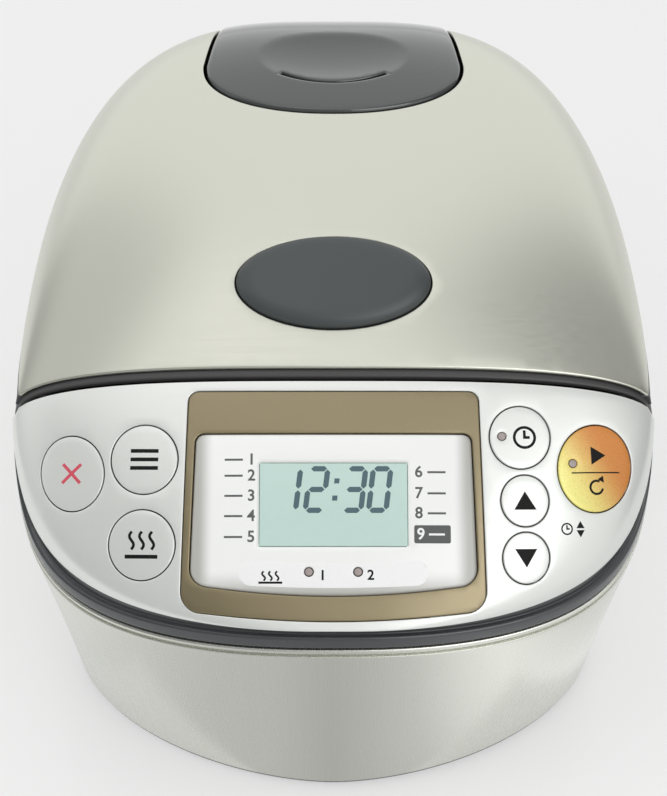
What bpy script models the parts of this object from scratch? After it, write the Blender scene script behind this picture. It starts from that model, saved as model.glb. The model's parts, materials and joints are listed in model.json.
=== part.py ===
"""Electronic rice cooker with a hinged lid, built from separate pieces in metres.

X runs to the right, -Y is the front with the control panel, +Z is up. The origin lies on the table,
under the middle of the cooker's overall length and width.
"""

import math

import bmesh
import bpy
from mathutils import Matrix, Vector

MM = 0.001
GAP = 0.3 * MM  # between pieces that touch

# Outer form: plan outline, side profile and the rim line where lid and panel end
HALF_WIDTH = 128.5 * MM
SPLIT_Y = -82.7 * MM  # lid's front edge, where the plan is widest
PANEL_DEPTH = 87.8 * MM
LID_DEPTH = 222.2 * MM
FRONT_Y = SPLIT_Y - PANEL_DEPTH
REAR_Y = SPLIT_Y + LID_DEPTH
FRONT_POWER = 2.47
PANEL_POWER = 2.3  # the panel and front lid are a little rounder than the ring they stand in
REAR_POWER = 2.95
RIM_Z = 148.5 * MM
FRONT_RIM_DROP = 37.2 * MM
FRONT_RIM_Z = RIM_Z - FRONT_RIM_DROP
LID_RISE = 65.9 * MM
CROWN_Y = REAR_Y - 76.8 * MM
CROWN_Z = RIM_Z + LID_RISE
SLOPE_POWER = 1.77
SHOULDER_POWER = 2.26
SHOULDER_ROOT = 2.2
ARCH_POWER = 3.4
ARCH_ROOT = 2.15
SWEEP_POWER = 3.0
SWEEP_EASE = 1.6

# Body wall, ring and base
BASE_TAPER = 16.0 * MM  # each side, from the rim in to the foot of the wall
BASE_FRONT_TAPER = 11.3 * MM
BASE_REAR_TAPER = 11.5 * MM
BASE_HALF_WIDTH = HALF_WIDTH - BASE_TAPER
BASE_FRONT_Y = FRONT_Y + BASE_FRONT_TAPER
BASE_REAR_Y = REAR_Y - BASE_REAR_TAPER
BASE_FRONT_POWER = 1.78
BASE_REAR_POWER = 2.6
RING_HEIGHT = 10.0 * MM
RING_WALL = 3.2 * MM
LID_GAP = 0.4 * MM
STEEL_WALL = 1.0 * MM
HEM_HEIGHT = 5.5 * MM
BASE_Z = 2.0 * MM
BASE_RIM = 2.6 * MM
BASE_WALL = 2.4 * MM
BASE_SKIRT = 7.0 * MM
FOOT_RADIUS = 8.0 * MM
FOOT_X = BASE_HALF_WIDTH * 0.56
FOOT_FRONT_Y = BASE_FRONT_Y + 47.0 * MM
FOOT_REAR_Y = BASE_REAR_Y - 36.0 * MM
BOARD_HALF = 52.0 * MM
BOARD_Y = BASE_FRONT_Y + 47.2 * MM
BOARD_FOOT_Z = BASE_Z + BASE_WALL + 4.0 * MM
BOARD_HEIGHT = 84.0 * MM
BOARD_THICK = 1.6 * MM
INLET_HALF = 17.0 * MM
INLET_Z = 16.0 * MM
INLET_HEIGHT = 22.0 * MM
INLET_DEPTH = 12.0 * MM

# Pot, deck and heaters, round one upright axis
POT_Y = REAR_Y - 112.5 * MM
POT_RADIUS = 86.0 * MM  # inside
POT_WALL = 1.5 * MM
POT_DEPTH = 105.0 * MM
POT_CORNER = 22.0 * MM
POT_FLANGE = 7.5 * MM
FLANGE_THICK = 1.8 * MM
DECK_Z = RIM_Z - 4.0 * MM
DECK_THICK = 3.0 * MM
MOUTH_CLEARANCE = 2.0 * MM
LINER_CLEARANCE = 3.0 * MM
LINER_WALL = 1.0 * MM
LINER_LEDGE = 25.0 * MM
HEATER_RADIUS = POT_RADIUS - 12.0 * MM
HEATER_THICK = 12.0 * MM
SIDE_HEATER_HEIGHT = 22.0 * MM
SIDE_HEATER_DROP = 41.5 * MM  # from the deck's underside to the band's upper edge
SENSOR_RADIUS = 17.0 * MM
SENSOR_HEIGHT = 16.0 * MM
SENSOR_TRAVEL = 3.0 * MM

# Lid
COVER_WALL = 1.2 * MM
BAND_HEIGHT = 5.5 * MM
LIP_REACH = 3.2 * MM
LIP_DROP = 2.3 * MM
LIP_THICK = 2.2 * MM
TRAY_RECESS = 1.3 * MM
TRAY_THICK = 2.2 * MM
HEAT_OPENING = POT_RADIUS - 14.0 * MM
HEAT_PLATE_LAP = 5.0 * MM
HEAT_PLATE_THICK = 1.5 * MM
INNER_LID_THICK = 0.9 * MM
INNER_LID_RADIUS = POT_RADIUS + 4.7 * MM
GASKET_RADIUS = POT_RADIUS + 8.0 * MM
GASKET_INNER = POT_RADIUS - 3.0 * MM
GASKET_THICK = 2.6 * MM

# Hinge
HINGE_Y = REAR_Y + 11.0 * MM
HINGE_Z = RIM_Z - 1.0 * MM
SHAFT_RADIUS = 2.5 * MM
SHAFT_CLEARANCE = 0.15 * MM
BARREL_RADIUS = 6.0 * MM
BARREL_HALF = 36.0 * MM
SPRING_ROOM = 15.0 * MM
EAR_INNER = BARREL_HALF + SPRING_ROOM
EAR_WIDTH = 10.0 * MM
HINGE_COVER_HALF = EAR_INNER + EAR_WIDTH + 7.0 * MM
HINGE_COVER_DEPTH = 31.0 * MM
HINGE_COVER_TOP = RIM_Z + 0.5 * MM
HINGE_COVER_HEIGHT = 87.0 * MM
HINGE_COVER_WALL = 2.5 * MM

# Steam vent
VENT_REAR_Y = REAR_Y - 11.5 * MM
VENT_LENGTH = 98.0 * MM
VENT_FRONT_Y = VENT_REAR_Y - VENT_LENGTH
VENT_HALF = 55.8 * MM
VENT_REAR_HALF = VENT_HALF - 6.8 * MM
VENT_CLEARANCE = 0.8 * MM
VENT_PROUD = 0.6 * MM
VENT_SLAB = 7.0 * MM
DISH_Y = VENT_FRONT_Y + 42.0 * MM
DISH_HALF_X = 33.5 * MM
DISH_HALF_Y = 26.0 * MM
DISH_DEPTH = 3.6 * MM
VENT_TUBE_Y = DISH_Y + 2.0 * MM
CASE_RADIUS = 30.0 * MM
CASE_WALL = 1.4 * MM
TUBE_RADIUS = 8.0 * MM
STEAM_HOLE = TUBE_RADIUS + 2.0 * MM

# Lid button and latch
BUTTON_Y = SPLIT_Y + 32.7 * MM
BUTTON_HALF_X = 39.0 * MM
BUTTON_HALF_V = 20.2 * MM
BUTTON_CLEARANCE = 0.7 * MM
BUTTON_PROUD = 4.0 * MM
BUTTON_BEVEL = 3.2 * MM
BUTTON_TRAVEL = 3.5 * MM
LATCH_Y = SPLIT_Y + 18.7 * MM
LATCH_Z = RIM_Z + 16.5 * MM
LATCH_PIN_RADIUS = 1.5 * MM
LATCH_HALF = 8.0 * MM
LATCH_ARM = 14.0 * MM  # from the pin back to the button's post
LATCH_TIP_Z = DECK_Z - 6.5 * MM
LATCH_FRONT_Y = LATCH_Y - 9.5 * MM
LATCH_REAR_Y = LATCH_Y - 5.9 * MM
LATCH_SWING = 10.5 * MM  # room for the tip, in front of it
SPRING_WIRE = 0.6 * MM

# Control panel
PANEL_WALL = 2.4 * MM
PANEL_TOP_GAP = 5.0 * MM  # from the lid's edge to the panel's, in plan
FRONT_WALL_Y = SPLIT_Y - PANEL_TOP_GAP - 4.0 * MM
KEY_GAP = 0.35 * MM
KEY_FLANGE = 1.0 * MM
KEY_FLANGE_THICK = 0.8 * MM
KEY_STEM = 2.6 * MM
KEY_TRAVEL = 0.5 * MM
KEY_ROOM = 9.0 * MM  # from the lowest key's face to the board
SWITCH_HEIGHT = 3.6 * MM
SWITCH_HALF = 3.0 * MM
FRAME_TOP_V = 41.0 * MM
FRAME_BOTTOM_V = -46.5 * MM
FRAME_BOW = 3.4 * MM
FRAME_HALF = 57.0 * MM
FRAME_FLARE = 2.0 * MM
FRAME_CORNER = 4.0 * MM
WINDOW_TOP_V = 23.8 * MM
WINDOW_BOTTOM_V = -36.5 * MM
WINDOW_BOW = 3.6 * MM
WINDOW_HALF = FRAME_HALF - 3.0 * MM
WINDOW_FLARE = 1.6 * MM
WINDOW_CORNER = 3.5 * MM
WINDOW_DROP = 0.6 * MM
LCD_HALF_X = 28.8 * MM
LCD_TOP_V = 12.2 * MM
LCD_BOTTOM_V = -20.7 * MM
LAMP_RADIUS = 1.5 * MM
KEEP_WARM_LAMP_X = 9.5 * MM
KEEP_WARM_LAMP_V = -30.8 * MM
OUTER_KEY_INSET = 25.6 * MM  # from the widest outline to an outer key's middle
KEY_FRAME_GAP = 2.8 * MM  # from the display frame to the nearest keys

# Facets
LOOP = 36
ARCH_COLUMNS = 12
LID_ROWS = 10
PANEL_ROWS = 6
ROUND = 20
WIDE_ROUND = 28


def clear_scene():
    for obj in list(bpy.data.objects):
        bpy.data.objects.remove(obj, do_unlink=True)


def new_collection(name):
    made = bpy.data.collections.new(name)
    bpy.context.scene.collection.children.link(made)
    return made


clear_scene()
parts = new_collection("rice_cooker")
cutters = new_collection("cutters")


def material(name, colour, roughness, metallic=0.0, alpha=1.0):
    found = bpy.data.materials.get(name)
    if found:
        return found
    made = bpy.data.materials.new(name)
    made.use_nodes = True
    shader = made.node_tree.nodes["Principled BSDF"]
    shader.inputs["Base Color"].default_value = (*colour, 1.0)
    shader.inputs["Roughness"].default_value = roughness
    shader.inputs["Metallic"].default_value = metallic
    shader.inputs["Alpha"].default_value = alpha
    return made


STEEL = material("brushed_steel", (0.62, 0.63, 0.60), 0.32, 1.0)
DARK_PLASTIC = material("dark_grey_abs", (0.055, 0.058, 0.06), 0.38)
GREY_PLASTIC = material("grey_abs", (0.20, 0.21, 0.21), 0.35)
PEARL_PLASTIC = material("pearl_abs", (0.75, 0.76, 0.74), 0.30)
BRONZE = material("bronze_film", (0.36, 0.27, 0.17), 0.35, 0.6)
WHITE_WINDOW = material("white_acrylic", (0.85, 0.86, 0.84), 0.18)
LCD_GLASS = material("lcd_glass", (0.52, 0.60, 0.56), 0.15)
ORANGE = material("orange_key", (0.90, 0.45, 0.12), 0.35)
LENS = material("lamp_lens", (0.60, 0.55, 0.52), 0.25)
ALUMINIUM = material("aluminium", (0.72, 0.72, 0.72), 0.40, 1.0)
POT_COAT = material("pot_coating", (0.09, 0.09, 0.095), 0.45)
RUBBER = material("silicone", (0.30, 0.30, 0.30), 0.65)
SPRING_STEEL = material("spring_steel", (0.55, 0.55, 0.56), 0.30, 1.0)
BOARD_GREEN = material("board_laminate", (0.06, 0.22, 0.10), 0.55)
BLACK_PLASTIC = material("black_nylon", (0.03, 0.03, 0.03), 0.50)


# ---------------------------------------------------------------- form of the whole


def signed_power(value, power):
    return math.copysign(abs(value) ** power, value)


def rim(y):
    """Height of the rim line: level under the lid, sweeping down round the front."""
    share = min(max((y - FRONT_Y) / (SPLIT_Y - FRONT_Y), 0.0), 1.0)
    return FRONT_RIM_Z + (RIM_Z - FRONT_RIM_Z) * (1 - (1 - share**SWEEP_POWER) ** SWEEP_EASE)


def half_width(y, inset=0.0):
    if y < SPLIT_Y:
        share = (SPLIT_Y - y) / (SPLIT_Y - FRONT_Y - inset)
        power = PANEL_POWER
    else:
        share = (y - SPLIT_Y) / (REAR_Y - SPLIT_Y - inset)
        power = REAR_POWER
    return (HALF_WIDTH - inset) * max(1 - share**power, 0.0) ** (1 / power)


def crown(y, inset=0.0):
    """Side profile on the centreline: a long slope, the crown and the rear shoulder."""
    if y < CROWN_Y:
        share = min((CROWN_Y - y) / (CROWN_Y - FRONT_Y), 1.0)
        z = CROWN_Z - (CROWN_Z - FRONT_RIM_Z) * share**SLOPE_POWER
    else:
        share = min((y - CROWN_Y) / (REAR_Y - CROWN_Y - inset), 1.0)
        z = RIM_Z + (CROWN_Z - RIM_Z) * max(1 - share**SHOULDER_POWER, 0.0) ** (1 / SHOULDER_ROOT)
    return max(z - inset, rim(y) + 0.05 * MM)


def arch(share):
    return max(1 - abs(share) ** ARCH_POWER, 0.0) ** (1 / ARCH_ROOT)


def skin_z(x, y, inset=0.0):
    width = half_width(y, inset)
    if width <= abs(x):
        return rim(y)
    return rim(y) + (crown(y, inset) - rim(y)) * arch(x / width)


def skin_row(y, inset, foot):
    """Points across the skin at y, from the left edge to the right, ending at the height foot."""
    width = half_width(y, inset)
    height = crown(y, inset) - rim(y)
    share = min(foot / height, 1.0)
    edge = (1 - share**ARCH_ROOT) ** (1 / ARCH_POWER)
    sweep = math.asin(min(edge ** (ARCH_POWER / 2), 1.0))
    row = []
    for column in range(ARCH_COLUMNS + 1):
        angle = sweep * (2 * column / ARCH_COLUMNS - 1)
        share = signed_power(math.sin(angle), 2 / ARCH_POWER)
        row.append(Vector((share * width, y, rim(y) + height * arch(share))))
    return row


def skin_grid(start, end, rows, inset, foot):
    """Rows of skin from start to the pole at end, closed down to the rim there."""
    pole = end - math.copysign(inset, end - start)
    grid = []
    for step in range(rows):
        share = step / (rows - 1)
        share = (0.6 * math.sin(math.pi / 2 * share) + 0.4 * share) * 0.998
        grid.append(skin_row(start + (pole - start) * share, inset, foot))
    grid.append([Vector((point.x, pole, rim(pole) + foot)) for point in grid[-1]])
    return grid


def outline(inset, drop):
    """Closed plan loop that follows the rim line, drop below it."""
    loop = []
    for step in range(LOOP):
        angle = 2 * math.pi * step / LOOP
        front = math.sin(angle) < 0
        power = FRONT_POWER if front else REAR_POWER
        depth = SPLIT_Y - FRONT_Y if front else REAR_Y - SPLIT_Y
        x = signed_power(math.cos(angle), 2 / power) * (HALF_WIDTH - inset)
        reach = signed_power(math.sin(angle), 2 / power)
        loop.append(Vector((x, SPLIT_Y + reach * (depth - inset), rim(SPLIT_Y + reach * depth) - drop)))
    return loop


def base_outline(inset, z):
    loop = []
    for step in range(LOOP):
        angle = 2 * math.pi * step / LOOP
        front = math.sin(angle) < 0
        power = BASE_FRONT_POWER if front else BASE_REAR_POWER
        depth = SPLIT_Y - BASE_FRONT_Y if front else BASE_REAR_Y - SPLIT_Y
        x = signed_power(math.cos(angle), 2 / power) * (BASE_HALF_WIDTH - inset)
        y = SPLIT_Y + signed_power(math.sin(angle), 2 / power) * (depth - inset)
        loop.append(Vector((x, y, z)))
    return loop


WALL_TOP_DROP = LID_GAP + RING_HEIGHT + GAP + HEM_HEIGHT
WALL_FOOT_Z = BASE_Z + BASE_RIM + GAP


def wall_loop(share, inset):
    """Loop on the body wall, from its foot at 0 to the hem at 1."""
    low = base_outline(inset, WALL_FOOT_Z)
    high = outline(inset + 0.3 * MM, WALL_TOP_DROP)
    return [a.lerp(b, share) for a, b in zip(low, high)]


# ---------------------------------------------------------------- building blocks


def add_object(name, mesh, mat=None, origin=None):
    obj = bpy.data.objects.new(name, mesh)
    if origin:
        mesh.transform(Matrix.Translation(-Vector(origin)))
        obj.location = origin
    if mat:
        parts.objects.link(obj)
        mesh.materials.clear()
        mesh.materials.append(mat)
        mesh.shade_smooth()
        mesh.set_sharp_from_angle(angle=math.radians(32))
    else:
        cutters.objects.link(obj)
        obj.hide_render = True
        obj.display_type = "WIRE"
    return obj


def finish_mesh(name, bm):
    bmesh.ops.recalc_face_normals(bm, faces=bm.faces)
    mesh = bpy.data.meshes.new(name)
    bm.to_mesh(mesh)
    bm.free()
    return mesh


def loft(name, loops, wrap=False):
    """Skin through closed loops of equal count: a ring if wrap, else capped at both ends."""
    bm = bmesh.new()
    rings = [[bm.verts.new(point) for point in loop] for loop in loops]
    pairs = list(zip(rings, rings[1:]))
    if wrap:
        pairs.append((rings[-1], rings[0]))
    for low, high in pairs:
        for step in range(len(low)):
            after = (step + 1) % len(low)
            bm.faces.new((low[step], low[after], high[after], high[step]))
    if not wrap:
        bm.faces.new(rings[0])
        bm.faces.new(rings[-1])
    return finish_mesh(name, bm)


def shell(name, outer, inner):
    """Closed wall between two grids of points of the same size."""
    bm = bmesh.new()
    skins = [[[bm.verts.new(point) for point in row] for row in grid] for grid in (outer, inner)]
    for skin in skins:
        for row, above in zip(skin, skin[1:]):
            for step in range(len(row) - 1):
                bm.faces.new((row[step], row[step + 1], above[step + 1], above[step]))
    borders = []
    for skin in skins:
        border = list(skin[0]) + [row[-1] for row in skin[1:]]
        border += list(reversed(skin[-1][:-1])) + [row[0] for row in reversed(skin[1:-1])]
        borders.append(border)
    for step in range(len(borders[0])):
        after = (step + 1) % len(borders[0])
        bm.faces.new((borders[0][step], borders[0][after], borders[1][after], borders[1][step]))
    return finish_mesh(name, bm)


def mesh_of(obj):
    """The evaluated object as a mesh of its own; the object itself is removed."""
    graph = bpy.context.evaluated_depsgraph_get()
    mesh = bpy.data.meshes.new_from_object(obj.evaluated_get(graph))
    mesh.transform(obj.matrix_world)
    bm = bmesh.new()
    bm.from_mesh(mesh)
    bmesh.ops.remove_doubles(bm, verts=bm.verts, dist=0.001 * MM)
    bmesh.ops.recalc_face_normals(bm, faces=bm.faces)
    bm.to_mesh(mesh)
    bm.free()
    bpy.data.objects.remove(obj, do_unlink=True)
    return mesh


def prism(name, points, low, high, frame=None):
    """Flat outline in a frame's XY plane, extruded from low to high along its Z."""
    curve = bpy.data.curves.new(name, "CURVE")
    curve.dimensions = "2D"
    curve.fill_mode = "BOTH"
    curve.extrude = (high - low) / 2
    spline = curve.splines.new("POLY")
    spline.points.add(len(points) - 1)
    for slot, (x, y) in zip(spline.points, points):
        slot.co = (x, y, 0.0, 1.0)
    spline.use_cyclic_u = True
    obj = bpy.data.objects.new(name, curve)
    cutters.objects.link(obj)
    obj.matrix_world = (frame or Matrix()) @ Matrix.Translation((0, 0, (low + high) / 2))
    bpy.context.view_layer.update()
    return mesh_of(obj)


def cylinder(name, radius, low, high, frame=None, sides=ROUND):
    """Round bar along a frame's Z axis, from low to high."""
    bm = bmesh.new()
    place = (frame or Matrix()) @ Matrix.Translation((0, 0, (low + high) / 2))
    bmesh.ops.create_cone(
        bm, cap_ends=True, segments=sides, radius1=radius, radius2=radius, depth=high - low, matrix=place
    )
    return finish_mesh(name, bm)


def box(name, low, high, frame=None):
    bm = bmesh.new()
    low, high = Vector(low), Vector(high)
    size = Matrix.Diagonal((*(high - low), 1.0))
    bmesh.ops.create_cube(bm, size=1.0, matrix=(frame or Matrix()) @ Matrix.Translation((low + high) / 2) @ size)
    return finish_mesh(name, bm)


def turned(name, profile, mat, centre, steps=ROUND):
    """Profile of (radius, height) turned round an upright axis; it runs down its outer side."""
    mesh = bpy.data.meshes.new(name)
    points = [(radius, 0.0, z) for radius, z in profile]
    closed = profile[0][0] > 0 or profile[-1][0] > 0
    edges = [(step, step + 1) for step in range(len(points) - 1)]
    if closed:
        edges.append((len(points) - 1, 0))
    mesh.from_pydata(points, edges, [])
    obj = bpy.data.objects.new(name, mesh)
    obj.location = centre
    mod = obj.modifiers.new("turn", "SCREW")
    mod.steps = steps
    mod.render_steps = steps
    mod.use_merge_vertices = True
    mod.merge_threshold = 0.00001
    mod.use_smooth_shade = True
    if mat:
        mesh.materials.append(mat)
        parts.objects.link(obj)
    else:
        cutters.objects.link(obj)
        obj.hide_render = True
        obj.display_type = "WIRE"
    return obj


def coil(name, radius, wire, low, high, turns, mat, frame):
    """Round-wire coil along a frame's Z axis."""
    curve = bpy.data.curves.new(name, "CURVE")
    curve.dimensions = "3D"
    curve.bevel_depth = wire
    curve.bevel_resolution = 0
    curve.use_fill_caps = True
    count = turns * 8 + 1
    spline = curve.splines.new("POLY")
    spline.points.add(count - 1)
    for step, slot in enumerate(spline.points):
        angle = 2 * math.pi * step / 8
        z = low + (high - low) * step / (count - 1)
        slot.co = (radius * math.cos(angle), radius * math.sin(angle), z, 1.0)
    curve.materials.append(mat)
    obj = bpy.data.objects.new(name, curve)
    parts.objects.link(obj)
    obj.matrix_world = frame
    return obj


def boolean(target, tool, operation):
    mod = target.modifiers.new(f"{operation.lower()}_{tool.name}", "BOOLEAN")
    mod.operation = operation
    mod.object = tool
    mod.solver = "EXACT"


def cut(target, mesh):
    boolean(target, add_object(f"cut_{mesh.name}", mesh), "DIFFERENCE")


def join(target, mesh):
    boolean(target, add_object(f"join_{mesh.name}", mesh), "UNION")


def keep(target, mesh):
    boolean(target, add_object(f"keep_{mesh.name}", mesh), "INTERSECT")


def axis_frame(origin, direction):
    """Frame at origin whose Z axis points along direction, and whose X axis stays level."""
    z = Vector(direction).normalized()
    x = Vector((0, 1, 0)).cross(z)
    x = x.normalized() if x.length > 0.1 else Vector((1, 0, 0))
    y = z.cross(x)
    return Matrix.Translation(origin) @ Matrix((x, y, z)).transposed().to_4x4()


def side_frame(x=0.0):
    """Frame whose X runs along world Y, whose Y runs up, and whose Z runs along world X."""
    return Matrix.Translation((x, 0, 0)) @ Matrix(((0, 0, 1), (1, 0, 0), (0, 1, 0))).to_4x4()


def front_frame(y):
    """Frame whose X runs along world X, whose Y runs up, and whose Z runs to the front."""
    return Matrix.Translation((0, y, 0)) @ Matrix(((1, 0, 0), (0, 0, -1), (0, 1, 0))).to_4x4()


def arc(centre, radius, start, end, steps):
    points = []
    for step in range(steps + 1):
        angle = math.radians(start + (end - start) * step / steps)
        points.append((centre[0] + radius * math.cos(angle), centre[1] + radius * math.sin(angle)))
    return points


def oval(half_x, half_y, steps=32):
    return [
        (half_x * math.cos(2 * math.pi * step / steps), half_y * math.sin(2 * math.pi * step / steps))
        for step in range(steps)
    ]


def pivot(name, location):
    empty = bpy.data.objects.new(name, None)
    empty.location = location
    empty.empty_display_size = 0.01
    parts.objects.link(empty)
    return empty


def attach(children, parent):
    for child in children:
        child.parent = parent
        child.matrix_parent_inverse = Matrix.Translation(-parent.location)


# ---------------------------------------------------------------- body


def make_body():
    """Steel wrap: a rolled hem along the ring, a groove under it and a tapering wall."""
    top = LID_GAP + RING_HEIGHT + GAP
    outer = [wall_loop(share, 0.0) for share in (0.0, 0.3, 0.65, 1.0)]
    outer += [
        outline(0.9 * MM, top + 4.8 * MM),
        outline(0.9 * MM, top + 3.4 * MM),
        outline(0.0, top + 2.5 * MM),
        outline(0.0, top + 0.8 * MM),
        outline(0.7 * MM, top),
    ]
    inner = [
        outline(0.7 * MM + STEEL_WALL, top),
        outline(0.9 * MM + STEEL_WALL, top + HEM_HEIGHT),
        wall_loop(0.5, STEEL_WALL),
        wall_loop(0.0, STEEL_WALL),
    ]
    body = add_object("outer_body", loft("outer_body", outer + inner, wrap=True), STEEL)
    cut(body, box("inlet_hole", INLET_LOW - CLEAR, INLET_HIGH + CLEAR))
    return body


INLET_LOW = Vector((-INLET_HALF, BASE_REAR_Y + 3.0 * MM - INLET_DEPTH, INLET_Z))
INLET_HIGH = Vector((INLET_HALF, BASE_REAR_Y + 3.0 * MM, INLET_Z + INLET_HEIGHT))
CLEAR = Vector((GAP, GAP, GAP))


def make_base():
    inset = STEEL_WALL + GAP
    loops = [
        base_outline(4.0 * MM, BASE_Z),
        base_outline(0.8 * MM, BASE_Z + 1.0 * MM),
        base_outline(0.8 * MM, BASE_Z + BASE_RIM),
        base_outline(inset + 0.4 * MM, BASE_Z + BASE_RIM),
        base_outline(inset + 0.4 * MM, BASE_Z + BASE_RIM + 7.0 * MM),
        base_outline(inset + 0.4 * MM + BASE_WALL, BASE_Z + BASE_RIM + 7.0 * MM),
        base_outline(inset + 0.4 * MM + BASE_WALL, BASE_Z + BASE_WALL),
    ]
    base = add_object("base_cover", loft("base_cover", loops), GREY_PLASTIC)
    for index in range(7):
        x = (index - 3) * 11.0 * MM
        low = (x - 2 * MM, POT_Y - 7 * MM, 0)
        cut(base, box(f"slot_{index}", low, (x + 2 * MM, POT_Y + 35 * MM, BASE_Z + 2 * BASE_WALL)))
    for side, x in (("left", -BOARD_HALF), ("right", BOARD_HALF)):
        low = (x - 3 * MM, BOARD_Y - 4 * MM, BASE_Z + MM)
        high = (x + 3 * MM, BOARD_Y + BOARD_THICK + 3.4 * MM, BOARD_FOOT_Z + 14 * MM)
        join(base, box(f"guide_{side}", low, high))
    low = (-BOARD_HALF - GAP, BOARD_Y - GAP, BOARD_FOOT_Z - GAP)
    high = (BOARD_HALF + GAP, BOARD_Y + BOARD_THICK + GAP, BOARD_FOOT_Z + 20 * MM)
    cut(base, box("board_slot", low, high))
    return base


def make_feet():
    for depth, y in (("front", FOOT_FRONT_Y), ("rear", FOOT_REAR_Y)):
        for side, x in (("left", -FOOT_X), ("right", FOOT_X)):
            profile = [
                (0.0, BASE_Z - GAP),
                (FOOT_RADIUS, BASE_Z - GAP),
                (FOOT_RADIUS, 0.5 * MM),
                (FOOT_RADIUS - 0.5 * MM, 0.0),
                (0.0, 0.0),
            ]
            turned(f"foot_{depth}_{side}", profile, RUBBER, (x, y, 0), steps=14)


def make_power_board():
    high = (BOARD_HALF, BOARD_Y + BOARD_THICK, BOARD_FOOT_Z + BOARD_HEIGHT)
    blank = box("power_board", (-BOARD_HALF, BOARD_Y, BOARD_FOOT_Z), high)
    board = add_object("power_board", blank, BOARD_GREEN)
    parts_z = BOARD_FOOT_Z + BOARD_HEIGHT * 0.7
    relay = box("relay", (8 * MM, BOARD_Y - 16 * MM, parts_z - 8 * MM), (30 * MM, BOARD_Y + 0.5 * MM, parts_z + 8 * MM))
    join(board, relay)
    upright = Matrix.Rotation(math.radians(90), 4, "X")
    for index, (x, rise, radius) in enumerate(((-38, 4, 8), (-18, 8, 5), (40, 0, 5))):
        frame = Matrix.Translation((x * MM, BOARD_Y, parts_z + rise * MM)) @ upright
        join(board, cylinder(f"capacitor_{index}", radius * MM, -0.5 * MM, 18 * MM, frame, sides=16))
    front = BOARD_Y - GAP
    low_z = BOARD_FOOT_Z + 12 * MM
    core = box("transformer", (-22 * MM, front - 30 * MM, low_z), (14 * MM, front, low_z + 28 * MM))
    transformer = add_object("transformer", core, SPRING_STEEL)
    low = (-27 * MM, front - 25 * MM, low_z + 5 * MM)
    winding = box("winding", low, (19 * MM, front - 5 * MM, low_z + 23 * MM))
    join(transformer, winding)


def make_inlet():
    """Recessed two-pin power inlet, low on the rear."""
    low, high = INLET_LOW, INLET_HIGH
    inlet = add_object("power_inlet", box("power_inlet", low, high), BLACK_PLASTIC)
    wall = 3.0 * MM
    recess_low = Vector((low.x + wall, high.y - 9 * MM, low.z + wall))
    cut(inlet, box("inlet_recess", recess_low, Vector((high.x - wall, high.y + wall, high.z - wall))))
    along = Matrix.Rotation(math.radians(-90), 4, "X")
    for name, x in (("left", -6.5 * MM), ("right", 6.5 * MM)):
        frame = Matrix.Translation((x, high.y - 10 * MM, (low.z + high.z) / 2)) @ along
        join(inlet, cylinder(f"inlet_pin_{name}", 2.0 * MM, 0.0, 8 * MM, frame, sides=12))


def make_upper_frame():
    """Dark ring under lid and panel, with the deck round the pot's mouth and the hinge ears."""
    ring = [
        outline(0.9 * MM, LID_GAP),
        outline(0.9 * MM, LID_GAP + 3.4 * MM),
        outline(0.0, LID_GAP + 3.9 * MM),
        outline(0.0, LID_GAP + RING_HEIGHT - 0.8 * MM),
        outline(0.9 * MM, LID_GAP + RING_HEIGHT),
        outline(RING_WALL, LID_GAP + RING_HEIGHT),
        outline(RING_WALL, LID_GAP),
    ]
    frame = add_object("upper_frame", loft("upper_frame", ring, wrap=True), DARK_PLASTIC)
    join(frame, make_deck())
    join(frame, make_front_wall())
    for side in (-1, 1):
        join(frame, make_ear(side))
    mouth = POT_RADIUS + POT_WALL + MOUTH_CLEARANCE
    low, high = DECK_Z - 2 * DECK_THICK, DECK_Z + DECK_THICK
    cut(frame, cylinder("mouth", mouth, low, high, Matrix.Translation((0, POT_Y, 0)), sides=40))
    half = LATCH_HALF + 2 * MM
    catch_y = LATCH_REAR_Y + 0.4 * MM
    cut(frame, box("latch_pocket", (-half, LATCH_FRONT_Y - LATCH_SWING, low), (half, catch_y, high)))
    return frame


def make_deck():
    overlap = RING_WALL - 1.0 * MM
    rear = [point for point in outline(overlap, 0.0) if point.y > SPLIT_Y]
    points = [(point.x, point.y) for point in rear]
    narrow = HALF_WIDTH - 9 * MM
    front = FRONT_WALL_Y + 0.5 * MM
    points += [(-narrow, SPLIT_Y - 1.0 * MM), (-narrow, front), (narrow, front), (narrow, SPLIT_Y - 1.0 * MM)]
    return prism("deck", points, DECK_Z - DECK_THICK, DECK_Z)


def make_front_wall():
    """Wall from the deck up to the underside of the panel's top edge."""
    thick = 2.0 * MM
    row = skin_row(FRONT_WALL_Y, PANEL_WALL + GAP + 0.6 * MM, 2.0 * MM)
    points = [(point.x * 0.985, point.z) for point in row]
    low = DECK_Z - DECK_THICK
    points += [(points[-1][0], low), (points[0][0], low)]
    return prism("front_wall", points, -thick, 0.0, front_frame(FRONT_WALL_Y))


def make_ear(side):
    low = RIM_Z - LID_GAP - RING_HEIGHT + 0.4 * MM
    top = RIM_Z - LID_GAP - 0.4 * MM
    reach = BARREL_RADIUS
    root = REAR_Y - 10.5 * MM
    profile = [(root, low), (HINGE_Y + reach, low)]
    profile += arc((HINGE_Y, HINGE_Z), reach, 0, 180, 10)
    profile += [(HINGE_Y - reach, top), (root, top)]
    name = "ear_left" if side < 0 else "ear_right"
    low_x, high_x = sorted((side * EAR_INNER, side * (EAR_INNER + EAR_WIDTH)))
    ear = prism(name, profile, low_x, high_x, side_frame())
    tool = add_object(f"solid_{name}", ear)
    hole = cylinder(f"hole_{name}", SHAFT_RADIUS + SHAFT_CLEARANCE, low_x - MM, high_x + MM, hinge_frame(), sides=24)
    cut(tool, hole)
    return apply_all(tool)


def hinge_frame():
    turn = Matrix.Rotation(math.radians(90), 4, "Y")
    return Matrix.Translation((0, HINGE_Y, HINGE_Z)) @ turn


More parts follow.
